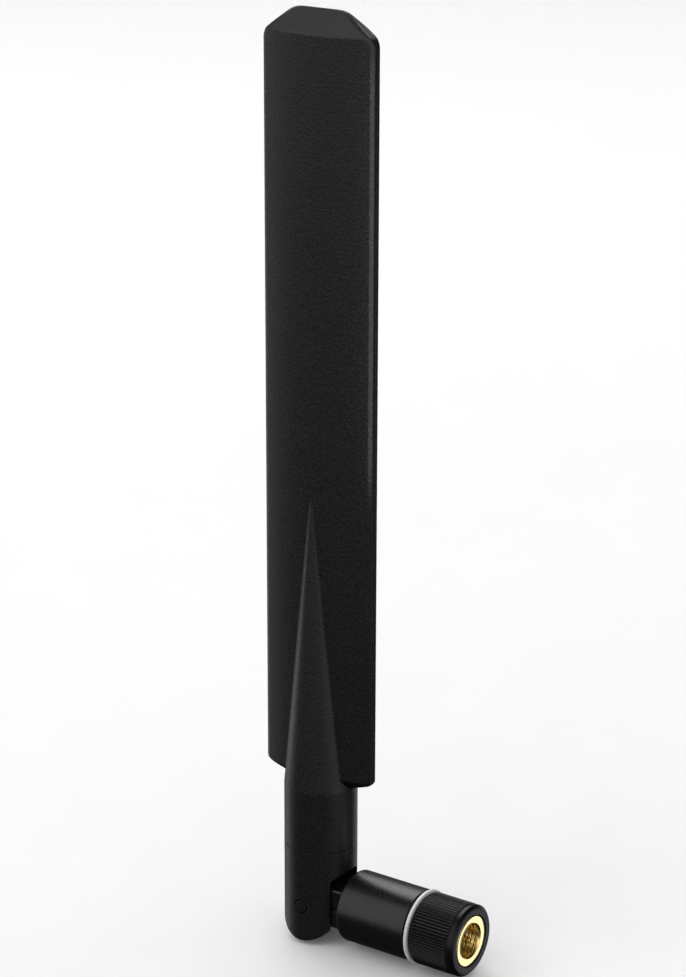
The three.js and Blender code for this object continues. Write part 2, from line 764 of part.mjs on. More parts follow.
add('sealing_gasket', sealingGasket(), siliconeRed);
add('retainer_ring', retainerRing(), springBronze);
add('coupling_nut', couplingNut(), goldPlate);
add('knurled_sleeve', knurledSleeve(), sleevePlastic);

const antenna = new THREE.Group();
antenna.add(fromHinge);

export default antenna;
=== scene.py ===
import math
import bpy
import bmesh
from mathutils import Matrix, Vector


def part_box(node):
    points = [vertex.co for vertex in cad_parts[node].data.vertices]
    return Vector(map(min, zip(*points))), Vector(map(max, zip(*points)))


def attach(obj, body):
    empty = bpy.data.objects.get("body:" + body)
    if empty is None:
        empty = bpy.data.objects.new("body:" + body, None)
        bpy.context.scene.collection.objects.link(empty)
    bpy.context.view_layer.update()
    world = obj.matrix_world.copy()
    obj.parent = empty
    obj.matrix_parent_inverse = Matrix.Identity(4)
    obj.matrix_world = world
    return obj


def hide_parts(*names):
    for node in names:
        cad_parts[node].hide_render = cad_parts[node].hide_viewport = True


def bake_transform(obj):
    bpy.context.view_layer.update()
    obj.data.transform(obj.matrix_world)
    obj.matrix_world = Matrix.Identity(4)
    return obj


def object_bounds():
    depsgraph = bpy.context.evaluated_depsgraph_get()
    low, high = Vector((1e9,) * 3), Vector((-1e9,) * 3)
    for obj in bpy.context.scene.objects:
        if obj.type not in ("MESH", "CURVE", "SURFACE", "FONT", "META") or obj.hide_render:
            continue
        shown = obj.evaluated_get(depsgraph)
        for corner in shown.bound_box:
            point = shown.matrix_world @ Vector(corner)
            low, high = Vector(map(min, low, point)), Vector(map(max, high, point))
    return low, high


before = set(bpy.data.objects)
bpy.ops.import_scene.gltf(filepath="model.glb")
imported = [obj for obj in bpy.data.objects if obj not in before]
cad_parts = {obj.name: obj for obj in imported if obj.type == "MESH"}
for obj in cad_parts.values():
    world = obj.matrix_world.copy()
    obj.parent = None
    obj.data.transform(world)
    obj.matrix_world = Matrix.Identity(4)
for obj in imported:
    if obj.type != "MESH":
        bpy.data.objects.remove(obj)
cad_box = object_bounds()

# A hinged blade antenna: two-part radome on a forked neck, round base, knurled screw-on plug.
# Shapes are drawn in millimetres about the hinge pin's centre: +X out of the plug, +Z up the blade.
# The plug's mouth is MOUTH_X millimetres along X from there, and the row frame starts at that mouth.
MM = 0.001
MOUTH_X = 31.85


# -------------------------------- mesh tools

TINY = 1e-6
MERGE_DIGITS = 5          # points that agree to this many decimals of a millimetre become one
LARGEST_REACH = 0.49      # share of a side that the rounding of one corner may take


def spaced(start, end, count):
    return [start + (end - start) * k / count for k in range(count + 1)]


def swung(first, last, steps):
    """Arms of one length that turn evenly from the first to the last."""
    turn = first.angle(last) if first.length > 0 and last.length > 0 else 0
    for t in spaced(0.0, 1.0, steps):
        if turn > 1e-5:
            yield (first * math.sin((1 - t) * turn) + last * math.sin(t * turn)) / math.sin(turn)
        else:
            yield first.lerp(last, t)


def placed(name, data):
    """A new object in the scene, made of a mesh, a lamp or a camera."""
    obj = bpy.data.objects.new(name, data)
    bpy.context.scene.collection.objects.link(obj)
    return obj


def mesh_object(name, points, faces):
    """A temporary object in millimetres, with its faces turned outward."""
    index, places, where = {}, [], []
    for p in points:
        key = tuple(round(v, MERGE_DIGITS) for v in p)
        if key not in index:
            index[key] = len(places)
            places.append(key)
        where.append(index[key])
    kept = []
    for face in faces:
        ring = []
        for i in face:
            if not ring or where[i] != ring[-1]:
                ring.append(where[i])
        if len(ring) > 1 and ring[0] == ring[-1]:
            ring.pop()
        if len(ring) > 2 and len(set(ring)) == len(ring):
            kept.append(ring)
    mesh = bpy.data.meshes.new(name)
    mesh.from_pydata(places, [], kept)
    work = bmesh.new()
    work.from_mesh(mesh)
    bmesh.ops.delete(work, geom=[v for v in work.verts if not v.link_faces], context="VERTS")
    bmesh.ops.recalc_face_normals(work, faces=work.faces)
    if work.calc_volume(signed=True) < 0:
        bmesh.ops.reverse_faces(work, faces=work.faces)
    work.to_mesh(mesh)
    work.free()
    return placed(name, mesh)


def lofted(name, rows, capped=True):
    """Rings of points, one after the other, joined by quads. The end rings are closed if capped."""
    count = len(rows[0])
    points = [p for row in rows for p in row]
    faces = []
    for i in range(len(rows) - 1):
        here, there = i * count, (i + 1) * count
        for j in range(count):
            k = (j + 1) % count
            faces.append((here + j, here + k, there + k, there + j))
    if capped:
        last = (len(rows) - 1) * count
        for j in range(1, count // 2):
            for first in (0, last):
                a, b = first + j - 1, first + j
                faces.append((a, b, first + count - 1 - j, first + count - j))
    return mesh_object(name, points, faces)


def rounded(corners, steps=4):
    """A closed outline from (a, b, radius) corners, each rounded by its radius."""
    path = []
    for i, corner in enumerate(corners):
        here = Vector(corner[:2])
        radius = corner[2] if len(corner) > 2 else 0
        before = Vector(corners[i - 1][:2]) - here
        after = Vector(corners[(i + 1) % len(corners)][:2]) - here
        if radius <= 0 or before.length < TINY or after.length < TINY:
            path.append(tuple(here))
            continue
        half = before.angle(after) / 2
        most = LARGEST_REACH
        reach = min(radius / math.tan(half), most * before.length, most * after.length)
        inward = (before.normalized() + after.normalized()).normalized()
        centre = here + inward * (reach * math.tan(half) / math.sin(half))
        start = here + before.normalized() * reach - centre
        end = here + after.normalized() * reach - centre
        path += [tuple(centre + arm) for arm in swung(start, end, steps)]
    return path


def spun(name, sides, section):
    """The closed list of (x, radius) that section gives at each share of a turn, swept about X."""
    rows = []
    for s in range(sides + 1):
        share = (s % sides) / sides
        angle = 2 * math.pi * share
        rows.append([(x, r * math.cos(angle), r * math.sin(angle)) for x, r in section(share)])
    return lofted(name, rows, capped=False)


def turned(name, corners, sides=128, steps=4):
    """A closed profile of (x, radius, rounding) corners turned about X."""
    profile = rounded(corners, steps)
    return spun(name, sides, lambda share: profile)


def slab(name, outline, y_low, y_high, rounding=0.0, steps=4):
    """An XZ outline given as a function of inset, from y_low to y_high, with its two rims rounded."""
    rows = []
    for side, y in ((-1, y_low), (1, y_high)):
        turn = range(steps + 1) if side < 0 else range(steps, -1, -1)
        for k in turn:
            a = math.pi / 2 * k / steps
            level = y - side * rounding * (1 - math.cos(a))
            rows.append([(x, level, z) for x, z in outline(rounding * (1 - math.sin(a)))])
        if rounding == 0:
            rows = rows[:1] if side < 0 else [rows[0], rows[-1]]
    obj = lofted(name, rows, capped=False)
    work = bmesh.new()
    work.from_mesh(obj.data)
    bmesh.ops.holes_fill(work, edges=[e for e in work.edges if e.is_boundary], sides=0)
    bmesh.ops.recalc_face_normals(work, faces=work.faces)
    work.to_mesh(obj.data)
    work.free()
    return obj


def block(name, low, high):
    xs, ys, zs = zip(low, high)
    points = [(x, y, z) for x in xs for y in ys for z in zs]
    faces = [(0, 1, 3, 2), (4, 6, 7, 5), (0, 4, 5, 1), (2, 3, 7, 6), (0, 2, 6, 4), (1, 5, 7, 3)]
    return mesh_object(name, points, faces)


def rod(name, axis, start, end, radius, sides=96):
    """A round rod along X, Y or Z through the hinge's centre."""
    rows = []
    for s in range(sides):
        a = 2 * math.pi * s / sides
        u, v = radius * math.cos(a), radius * math.sin(a)
        rows.append([{"X": (w, u, v), "Y": (u, w, v), "Z": (u, v, w)}[axis] for w in (start, end)])
    points = [p for row in rows for p in row]
    faces = []
    for s in range(sides):
        after = (s + 1) % sides
        faces.append((2 * s, 2 * s + 1, 2 * after + 1, 2 * after))
    faces += [tuple(range(0, 2 * sides, 2)), tuple(range(1, 2 * sides, 2))]
    return mesh_object(name, points, faces)


def hull(name, points):
    work = bmesh.new()
    for p in points:
        work.verts.new(p)
    made = bmesh.ops.convex_hull(work, input=work.verts)
    inner = [g for g in made["geom_interior"] if isinstance(g, bmesh.types.BMVert)]
    bmesh.ops.delete(work, geom=inner, context="VERTS")
    mesh = bpy.data.meshes.new(name)
    work.to_mesh(mesh)
    work.free()
    return placed(name, mesh)


def combine(obj, others, operation):
    """obj with each of the others joined, cut out or kept in common. The others are used up."""
    for other in others:
        step = obj.modifiers.new("combine", "BOOLEAN")
        step.solver = "MANIFOLD"
        step.operation = operation
        step.object = other
        bpy.context.view_layer.update()
        shape = obj.evaluated_get(bpy.context.evaluated_depsgraph_get())
        mesh = bpy.data.meshes.new_from_object(shape)
        obj.modifiers.clear()
        obj.data = mesh
        bpy.data.objects.remove(other)
    return obj


def copied(obj, name):
    return placed(name, obj.data.copy())


def tube(name, route, radius, sides=16):
    """A round tube along a list of points, with flat ends."""
    places = [Vector(p) for p in route]
    rows = []
    side = Vector((0, 1, 0))
    for i, p in enumerate(places):
        ahead = (places[min(i + 1, len(places) - 1)] - places[max(i - 1, 0)]).normalized()
        up = ahead.cross(side).normalized()
        ring = []
        for s in range(sides):
            a = 2 * math.pi * s / sides
            ring.append(tuple(p + side * radius * math.cos(a) + up * radius * math.sin(a)))
        rows.append(ring)
    return lofted(name, rows)


def piece(obj, name, body, nodes, slot_name, smooth=35, material=None):
    """A finished piece: out of the drawing's frame into the row frame, shaded, riding on its body."""
    obj.name = name
    obj.data.name = name
    obj.data.transform(Matrix.Scale(MM, 4) @ Matrix.Translation((-MOUTH_X, 0, 0)))
    obj.data.materials.clear()
    obj.data.materials.append(MATERIALS[material or slot_name])
    obj.data.shade_smooth()
    obj.data.set_sharp_from_angle(angle=math.radians(smooth))
    even = obj.modifiers.new("even", "WEIGHTED_NORMAL")
    even.keep_sharp = True
    if body:
        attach(obj, body)
    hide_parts(*nodes)
    return obj


# -------------------------------- materials

class Nodes:
    """Adds nodes to the tree of a world or a material, by default of a new material."""

    def __init__(self, owner=None, coordinates="Object"):
        self.owner = owner or bpy.data.materials.new("material")
        self.owner.use_nodes = True
        self.tree = self.owner.node_tree
        self.place = self.add("ShaderNodeTexCoord").outputs[coordinates]

    def fill(self, node, inputs):
        """Puts a number, a vector, a colour or another node's output into each of the inputs."""
        for key, value in inputs.items():
            socket = node.inputs[key]
            if isinstance(value, bpy.types.NodeSocket):
                self.tree.links.new(value, socket)
            elif socket.type == "RGBA":
                socket.default_value = (*value, 1)
            else:
                socket.default_value = value
        return node

    def add(self, kind, inputs=None, **settings):
        node = self.tree.nodes.new(kind)
        for key, value in settings.items():
            setattr(node, key, value)
        return self.fill(node, inputs or {})

    def axes(self):
        return self.add("ShaderNodeSeparateXYZ", {"Vector": self.place}).outputs

    def maths(self, operation, *values):
        node = self.add("ShaderNodeMath", dict(enumerate(values)), operation=operation)
        return node.outputs["Value"]

    def noise(self, per_metre, detail=3.0, vector=None, roughness=0.5):
        return self.add("ShaderNodeTexNoise", {
            "Scale": per_metre, "Detail": detail, "Roughness": roughness,
            "Vector": vector or self.place,
        }).outputs["Fac"]

    def ramp(self, source, low, high, start=0.3, end=0.7, curve="LINEAR"):
        """source from start to end becomes a number from low to high."""
        return self.add("ShaderNodeMapRange", {
            "Value": source, "From Min": start, "From Max": end, "To Min": low, "To Max": high,
        }, interpolation_type=curve).outputs["Result"]

    def mixed(self, factor, first, second):
        """A colour between two, each given as a tuple or as another node's colour."""
        node = self.add("ShaderNodeMix", data_type="RGBA")
        colours = {6: first, 7: second}
        return self.fill(node, {"Factor": factor, **colours}).outputs[2]

    def bump(self, height, depth_mm, strength=1.0, under=None):
        node = self.add("ShaderNodeBump", {
            "Strength": strength, "Distance": depth_mm * MM, "Height": height,
        })
        if under:
            self.fill(node, {"Normal": under})
        return node.outputs["Normal"]

    def edges(self, radius_mm):
        """Normals that round every edge a little."""
        return self.add("ShaderNodeBevel", {"Radius": radius_mm * MM}, samples=6).outputs["Normal"]

    def finish(self, colour, roughness, normal, **constants):
        self.fill(self.tree.nodes["Principled BSDF"], {
            "Base Color": colour, "Roughness": roughness, "Normal": normal, **constants,
        })
        return self.owner


def moulded(dark, light, rough_low, rough_high, grain_mm=0.16, depth_mm=0.006, edge_mm=0.1, ior=1.5):
    """Moulded plastic: spark-eroded grain, faint flow clouding, slightly rounded edges."""
    clouds_per_metre, swells_per_metre, swell_mm = 60, 350, 0.01
    grain_tint, grain_lift = 0.35, 1.5
    n = Nodes()
    cloud = n.noise(clouds_per_metre, 4.0)
    grain = n.noise(1000 / grain_mm, 2.0, roughness=0.65)
    tone = n.mixed(n.ramp(cloud, 0.0, 1.0), dark, light)
    lifted = tuple(min(1.0, c * grain_lift) for c in light)
    tint = n.mixed(n.ramp(grain, 0.0, grain_tint), tone, lifted)
    rough = n.ramp(grain, rough_low, rough_high)
    fine = n.bump(grain, depth_mm, under=n.edges(edge_mm))
    swell = n.bump(n.noise(swells_per_metre, 1.0), swell_mm, 0.25, under=fine)
    return n.finish(tint, rough, swell, IOR=ior)


def machined(dark, light, rough_low, rough_high, depth_mm=0.003, edge_mm=0.05):
    """Turned metal: fine tool rings round the X axis, plating clouds, slightly rounded edges."""
    rings_per_metre, clouds_per_metre = 9000, 700
    n = Nodes()
    axes = n.axes()
    flat = n.add("ShaderNodeCombineXYZ", {"Y": axes["Y"], "Z": axes["Z"]}).outputs["Vector"]
    radius = n.add("ShaderNodeVectorMath", {0: flat}, operation="LENGTH").outputs["Value"]
    turn = n.add("ShaderNodeCombineXYZ", {"X": axes["X"], "Y": radius}).outputs["Vector"]
    rings = n.noise(rings_per_metre, 2.0, vector=turn)
    tone = n.mixed(n.ramp(n.noise(clouds_per_metre), 0.0, 1.0), dark, light)
    rough = n.ramp(rings, rough_low, rough_high)
    normal = n.bump(rings, depth_mm, under=n.edges(edge_mm))
    return n.finish(tone, rough, normal, Metallic=1.0)


def printed_board():
    """Green laminate with the weave of its glass cloth."""
    threads_per_metre = 700
    n = Nodes()
    threads = []
    for axis in ("X", "Z"):
        inputs = {"Scale": threads_per_metre, "Vector": n.place}
        wave = n.add("ShaderNodeTexWave", inputs, wave_type="BANDS", bands_direction=axis)
        threads.append(wave.outputs["Fac"])
    cloth = n.maths("MULTIPLY", *threads)
    woven = n.ramp(cloth, 0.0, 1.0, 0.0, 1.0)
    tone = n.mixed(woven, (0.012, 0.10, 0.035), (0.03, 0.19, 0.07))
    rough = n.ramp(n.noise(400), 0.3, 0.5)
    return n.finish(tone, rough, n.bump(cloth, 0.01, 0.6, under=n.edges(0.05)))


def beaten(dark, light, rough_low, rough_high, lumps_per_metre, depth_mm):
    """Foil and solder: uneven colour and an uneven surface."""
    n = Nodes()
    lumps = n.noise(lumps_per_metre, 4.0)
    tone = n.mixed(n.ramp(lumps, 0.0, 1.0), dark, light)
    rough = n.ramp(n.noise(lumps_per_metre * 2.3), rough_low, rough_high)
    return n.finish(tone, rough, n.bump(lumps, depth_mm), Metallic=1.0)


def braided():
    """Tinned wires that cross at both slants, with painted shade in the grooves between them."""
    strand_mm = 0.35
    n = Nodes()
    axes = n.axes()
    strands = []
    for slope in (1.0, -1.0):
        slanted = n.maths("MULTIPLY_ADD", axes["X"], slope, axes["Z"])
        strands.append(n.maths("SINE", n.maths("MULTIPLY", slanted, 2 * math.pi / (strand_mm * MM))))
    weave = n.maths("MAXIMUM", *strands)
    # painted shade: darker where the strands dip into the grooves, lighter along their crests
    tone = n.mixed(n.ramp(weave, 0.0, 1.0, -0.5, 1.0), (0.22, 0.21, 0.2), (0.62, 0.61, 0.6))
    rough = n.ramp(n.noise(3000), 0.25, 0.45)
    return n.finish(tone, rough, n.bump(weave, 0.05), Metallic=1.0)


def foamed():
    """Open cells: painted shade darkens each cell's hollow between its lighter walls."""
    cells_per_metre = 2200
    n = Nodes()
    inputs = {"Scale": cells_per_metre, "Vector": n.place}
    cells = n.add("ShaderNodeTexVoronoi", feature="SMOOTH_F1")
    walls = n.fill(cells, inputs).outputs["Distance"]
    # painted shade: the cell hollows are coloured darker and the walls lighter, though the foam is one
    # black
    tone = n.mixed(n.ramp(walls, 0.0, 1.0, 0.1, 0.7), (0.006, 0.006, 0.006), (0.03, 0.03, 0.032))
    return n.finish(tone, n.ramp(n.noise(900), 0.85, 1.0), n.bump(walls, 0.12))


MATERIALS = {
    "case_plastic": moulded((0.0029, 0.0029, 0.0032), (0.0042, 0.0042, 0.0046),
                            0.3, 0.46, grain_mm=0.45, depth_mm=0.045),
    "base_plastic": moulded((0.0030, 0.0030, 0.0033), (0.0042, 0.0042, 0.0046),
                            0.24, 0.36, grain_mm=0.4, depth_mm=0.02),
    "sleeve_plastic": moulded((0.0020, 0.0021, 0.0036), (0.0028, 0.0030, 0.0048),
                              0.25, 0.4, grain_mm=0.12, depth_mm=0.003, edge_mm=0.05, ior=1.32),
    "ring_plastic": moulded((0.66, 0.66, 0.64), (0.74, 0.74, 0.72), 0.35, 0.5,
                            depth_mm=0.004, edge_mm=0.08),
    "pin_plastic": moulded((0.0045, 0.0045, 0.0050), (0.0062, 0.0062, 0.0068),
                           0.3, 0.42, depth_mm=0.003),
    "gold_plate": machined((0.96, 0.74, 0.30), (1.0, 0.82, 0.36), 0.05, 0.12, depth_mm=0.0008),
    "spring_bronze": machined((0.42, 0.22, 0.09), (0.62, 0.36, 0.16), 0.2, 0.4),
    "contact_resin": moulded((0.78, 0.77, 0.73), (0.86, 0.85, 0.82), 0.4, 0.55,
                             depth_mm=0.002, edge_mm=0.05),
    "silicone_red": moulded((0.30, 0.018, 0.008), (0.42, 0.03, 0.012), 0.4, 0.6,
                            depth_mm=0.003, edge_mm=0.05),
    "crimp_nickel": machined((0.48, 0.46, 0.42), (0.66, 0.64, 0.6), 0.2, 0.42),
    "lead_jacket": moulded((0.016, 0.016, 0.017), (0.024, 0.024, 0.025), 0.4, 0.6, depth_mm=0.004),
    "lead_braid": braided(),
    "lead_core": moulded((0.72, 0.71, 0.66), (0.82, 0.81, 0.77), 0.35, 0.55, depth_mm=0.002),
    "board_laminate": printed_board(),
    "copper_foil": beaten((0.60, 0.24, 0.11), (0.86, 0.42, 0.22), 0.22, 0.5, 500, 0.01),
    "solder_tin": beaten((0.42, 0.43, 0.45), (0.72, 0.73, 0.75), 0.12, 0.4, 1600, 0.03),
    "foam_black": foamed(),
}
for name, material in MATERIALS.items():
    material.name = name


# -------------------------------- radome

HALF_WIDTH = 11.1
LENS_MIDDLE = 2.95        # half thickness at the blade's centre line
LENS_EDGE = 1.15          # half thickness where the face meets the edge's bevel
BEVEL_WIDTH, BEVEL_DEPTH = 0.7, 0.45
BEVEL_SOFTNESS = 0.14
RIDGE = 0.25              # half thickness of the ridges at both ends
BLADE_BOTTOM, FACE_BOTTOM = 22.0, 24.4
FACE_TOP, BLADE_TOP = 154.5, 158.4
HEEL_START, HEEL_RISE, HEEL_ROUNDING = 5.2, 2.08, 1.0
CREASE = 0.28             # half height of the soft crease between face and end facet
GUSSET_TOP = 75.8
GUSSET_TIP = 0.25
NECK = 6.5
FILLET = 0.5              # between gusset and face
FILLET_LEAST, FILLET_GROWTH = 0.35, 3   # its least share, and the gusset radius that adds a whole one
EAR_EDGE = 0.3
CUT_WIDTH, CUT_HEIGHT = 5.85, 4.5
CUT_SIDE_ROUNDING, CUT_TOP_ROUNDING = 2.5, 4.0
PARTING = 10.8
SEAM = 0.12
SLOT = 4.15
SLOT_REACH = 4.0
MOUTH_SLOPE, MOUTH_OFFSET = 0.88, 0.9

EDGE_SHARE = 0.6          # most of the thickness there that an edge's bevel or rounding may take
FACE_SHARE = 0.8          # most of the face beside the gusset that the bevel may take
HALVINGS = 40             # steps in the search for the place where a fillet touches the face

EDGE_POINTS, FACE_STEPS, FILLET_STEPS, ARC_STEPS = 7, 12, 6, 44
SIDE_POINTS = EDGE_POINTS + FACE_STEPS - 1
FOOT_ROWS, ARC_ROWS, CREASE_ROWS = 24, 8, 6
LEAST_GAP = 0.004         # rows closer together than this become one


def lens(x, flatten):
    """Half thickness of the blade at x, where flatten runs from 0 on the faces to 1 on a ridge."""
    reach = HALF_WIDTH - BEVEL_WIDTH
    full = LENS_EDGE + (LENS_MIDDLE - LENS_EDGE) * (1 - (x / reach) ** 2)
    return full * (1 - flatten) + RIDGE * flatten


def soft_ramp(value, softness):
    """0 below nothing, value above, with a rounded corner between."""
    if value < -softness:
        return 0.0
    if value > softness:
        return value
    return (value + softness) ** 2 / (4 * softness)


def flatten_at(z):
    low = soft_ramp(FACE_BOTTOM - z, CREASE) / (FACE_BOTTOM - BLADE_BOTTOM)
    high = soft_ramp(z - FACE_TOP, CREASE) / (BLADE_TOP - FACE_TOP)
    return min(1.0, low + high)


def cut_corners():
    """Centre and tangent heights of the two arcs that round an upper corner."""
    slant = math.hypot(CUT_WIDTH, CUT_HEIGHT)
    across, up = CUT_WIDTH / slant, CUT_HEIGHT / slant
    side_reach = CUT_SIDE_ROUNDING * math.tan(math.acos(up) / 2)
    top_reach = CUT_TOP_ROUNDING * math.tan(math.acos(across) / 2)
    corner = BLADE_TOP - CUT_HEIGHT
    side = (HALF_WIDTH - CUT_SIDE_ROUNDING, corner - side_reach, corner + side_reach * up)
    top_x = HALF_WIDTH - CUT_WIDTH
    top = (top_x - top_reach, BLADE_TOP - CUT_TOP_ROUNDING, BLADE_TOP - top_reach * up)
    return side, top


SIDE_ARC, TOP_ARC = cut_corners()


def heel_corner():
    """A lower corner's arc: its centre and upper tangent height, the underside's slope and angle."""
    slope = HEEL_RISE / (HALF_WIDTH - HEEL_START)
    tilt = math.atan(slope)
    reach = HEEL_ROUNDING * math.tan((math.pi / 2 - tilt) / 2)
    return HALF_WIDTH - HEEL_ROUNDING, BLADE_BOTTOM + HEEL_RISE + reach, slope, tilt


HEEL_X, HEEL_Z, HEEL_SLOPE, HEEL_TILT = heel_corner()


def half_width(z):
    if z < HEEL_Z - HEEL_ROUNDING * math.cos(HEEL_TILT):
        return HEEL_START + (z - BLADE_BOTTOM) / HEEL_SLOPE
    if z < HEEL_Z:
        return HEEL_X + math.sqrt(max(0.0, HEEL_ROUNDING ** 2 - (HEEL_Z - z) ** 2))
    if z < SIDE_ARC[1]:
        return HALF_WIDTH
    if z < SIDE_ARC[2]:
        return SIDE_ARC[0] + math.sqrt(CUT_SIDE_ROUNDING ** 2 - (z - SIDE_ARC[1]) ** 2)
    if z < TOP_ARC[2]:
        return HALF_WIDTH - (z - (BLADE_TOP - CUT_HEIGHT)) * CUT_WIDTH / CUT_HEIGHT
    return TOP_ARC[0] + math.sqrt(max(0.0, CUT_TOP_ROUNDING ** 2 - (z - TOP_ARC[1]) ** 2))


def gusset_at(z):
    """Radius and centre of the gusset's circle, or None above its tip."""
    share = (z - BLADE_BOTTOM) / (GUSSET_TOP - BLADE_BOTTOM)
    if share >= 0.9995:
        return None
    return NECK + (GUSSET_TIP - NECK) * share, (LENS_MIDDLE - GUSSET_TIP) * share


def fillet_at(z, flatten):
    """(x where the fillet leaves the face, its centre, where it meets the circle, its radius)."""
    circle = gusset_at(z)
    if circle is None:
        return None
    radius, centre = circle
    fillet = FILLET * min(1.0, FILLET_LEAST + radius / FILLET_GROWTH)
    near = 1e-4

    def offset(x):
        slope = (lens(x + near, flatten) - lens(x - near, flatten)) / (2 * near)
        size = math.hypot(1, slope)
        return Vector((x - slope / size * fillet, lens(x, flatten) + fillet / size))

    low, high = 0.0, NECK + 2.0
    for _ in range(HALVINGS):
        middle = (low + high) / 2
        if (offset(middle) - Vector((0, centre))).length < radius + fillet:
            low = middle
        else:
            high = middle
    hub = offset(low)
    out = (hub - Vector((0, centre))).normalized()
    return low, hub, Vector((0, centre)) + out * radius, fillet


def gusset_points(z, flatten):
    """The right half of the gusset's outline at z, from the face to the centre line."""
    start, hub, meet, _ = fillet_at(z, flatten)
    radius, centre = gusset_at(z)
    first = Vector((start, lens(start, flatten))) - hub
    points = [tuple(hub + arm) for arm in swung(first, meet - hub, FILLET_STEPS)]
    begin = math.atan2(meet[1] - centre, meet[0])
    for a in spaced(begin, math.pi / 2, ARC_STEPS // 2)[1:]:
        points.append((radius * math.cos(a), centre + radius * math.sin(a)))
    return points


def gusset_height(x, z, flatten):
    """Half thickness at x near the gusset's tip."""
    found = fillet_at(z, flatten)
    if found is None or x >= found[0]:
        return lens(x, flatten)
    _, hub, meet, fillet = found
    radius, centre = gusset_at(z)
    if x > meet[0]:
        return hub[1] - math.sqrt(max(0.0, fillet ** 2 - (x - hub[0]) ** 2))
    return centre + math.sqrt(max(0.0, radius ** 2 - x ** 2))


# Above this height the gusset is so narrow that its columns stay where they are here.
SWITCH_HEIGHT = GUSSET_TOP - 7.0
SWITCH_COLUMNS = [x for x, _ in gusset_points(SWITCH_HEIGHT, 0.0)]


def resampled(path, steps):
    """steps + 1 points evenly along a polyline."""
    lengths = [0.0]
    for a, b in zip(path, path[1:]):
        lengths.append(lengths[-1] + math.dist(a, b))
    total = lengths[-1]
    if total < 1e-9:
        return [path[0]] * (steps + 1)
    out, i = [], 0
    for k in range(steps + 1):
        goal = total * k / steps
        while i < len(path) - 2 and lengths[i + 1] < goal:
            i += 1
        span = lengths[i + 1] - lengths[i]
        t = (goal - lengths[i]) / span if span > 1e-12 else 0.0
        out.append((path[i][0] + (path[i + 1][0] - path[i][0]) * t,
                    path[i][1] + (path[i + 1][1] - path[i][1]) * t))
    return out


def bend_through(before, corner, after):
    """Three points that round a corner between two others."""
    middle = tuple((p + 2 * c + q) / 4 for p, c, q in zip(before, corner, after))
    return [before, middle, after]


def blade_half(z):
    """The front half of the blade's section as (x, half thickness), right edge to centre line."""
    flatten = flatten_at(z)
    width = half_width(z)
    if z < SWITCH_HEIGHT:
        inner = gusset_points(z, flatten)
    else:
        inner = [(x, gusset_height(x, z, flatten)) for x in SWITCH_COLUMNS]
    share = min(1.0, FACE_SHARE * (width - inner[0][0]) / (BEVEL_WIDTH + BEVEL_SOFTNESS))
    across, soft = BEVEL_WIDTH * share, BEVEL_SOFTNESS * share
    top = lens(width - across, flatten)
    depth = min(BEVEL_DEPTH * share, EDGE_SHARE * top)
    side, shoulder = (width, top - depth), (width - across, top)
    slant = math.hypot(across, depth)
    step = (across / slant * soft, depth / slant * soft)
    face = (width - across - soft, lens(width - across - soft, flatten))
    points = [(width, 0.0)]
    points += bend_through((width, side[1] - soft), side, (side[0] - step[0], side[1] + step[1]))
    points += bend_through((shoulder[0] + step[0], shoulder[1] - step[1]), shoulder, face)
    for k in range(1, FACE_STEPS):
        x = face[0] + (inner[0][0] - face[0]) * k / FACE_STEPS
        points.append((x, lens(x, flatten)))
    return points + inner


# Where the arc columns begin on a plain circle: where they begin at the blade's bottom.
PLAIN_ANGLE = math.atan2(*reversed(gusset_points(BLADE_BOTTOM, 1.0)[FILLET_STEPS]))


def arc_half(path, begin, radius, centre=0.0):
    """Fillet columns along a path that ends on a circle, then arc columns to the centre line."""
    points = resampled(path, FILLET_STEPS)
    for a in spaced(begin, math.pi / 2, ARC_STEPS // 2)[1:]:
        points.append((radius * math.cos(a), centre + radius * math.sin(a)))
    return points


def round_half(radius, centre=0.0):
    """The same columns on a plain circle, where all of the blade's side columns fold into one."""
    turn = spaced(0.0, PLAIN_ANGLE, 6)
    path = [(radius * math.cos(a), centre + radius * math.sin(a)) for a in turn]
    return [(radius, 0.0)] * SIDE_POINTS + arc_half(path, PLAIN_ANGLE, radius, centre)


def foot_half(z):
    """The same columns below the hinge pin, the side columns spread over the fork's round end."""
    reach = math.sqrt(max(0.0, NECK ** 2 - z ** 2))
    edge = min(EAR_EDGE, reach * EDGE_SHARE)
    y = math.sqrt(max(0.0, (NECK - edge) ** 2 - (reach - edge) ** 2))
    corner = math.atan2(y, reach - edge)
    side = [(reach, y * k / SIDE_POINTS) for k in range(SIDE_POINTS)]
    hub = reach - edge
    path = [(hub + edge * math.cos(a), y + edge * math.sin(a)) for a in spaced(0.0, corner, 4)]
    begin = max(corner, PLAIN_ANGLE)
    path += [(NECK * math.cos(a), NECK * math.sin(a)) for a in spaced(corner, begin, 4)[1:]]
    points = side + arc_half(path, begin, NECK)
    return [(0.0, y) for _, y in points] if z <= -NECK + TINY else points


def ring_of(half, z):
    """A closed ring from half of the front: back right to left, then front left to right."""
    front = half + [(-x, y) for x, y in reversed(half[:-1])]
    ring = [(x, y, z) for x, y in front]
    return ring + [(x, -y, z) for x, y in reversed(front)]


WING_OUT = 0.5            # how far outside the neck the straight underside begins
WING_LOW = BLADE_BOTTOM + (NECK + WING_OUT - HEEL_START) * HEEL_SLOPE
WING_ROOT = 0.35          # height over which the underside runs into the neck
TIP_END = GUSSET_TOP + 0.2


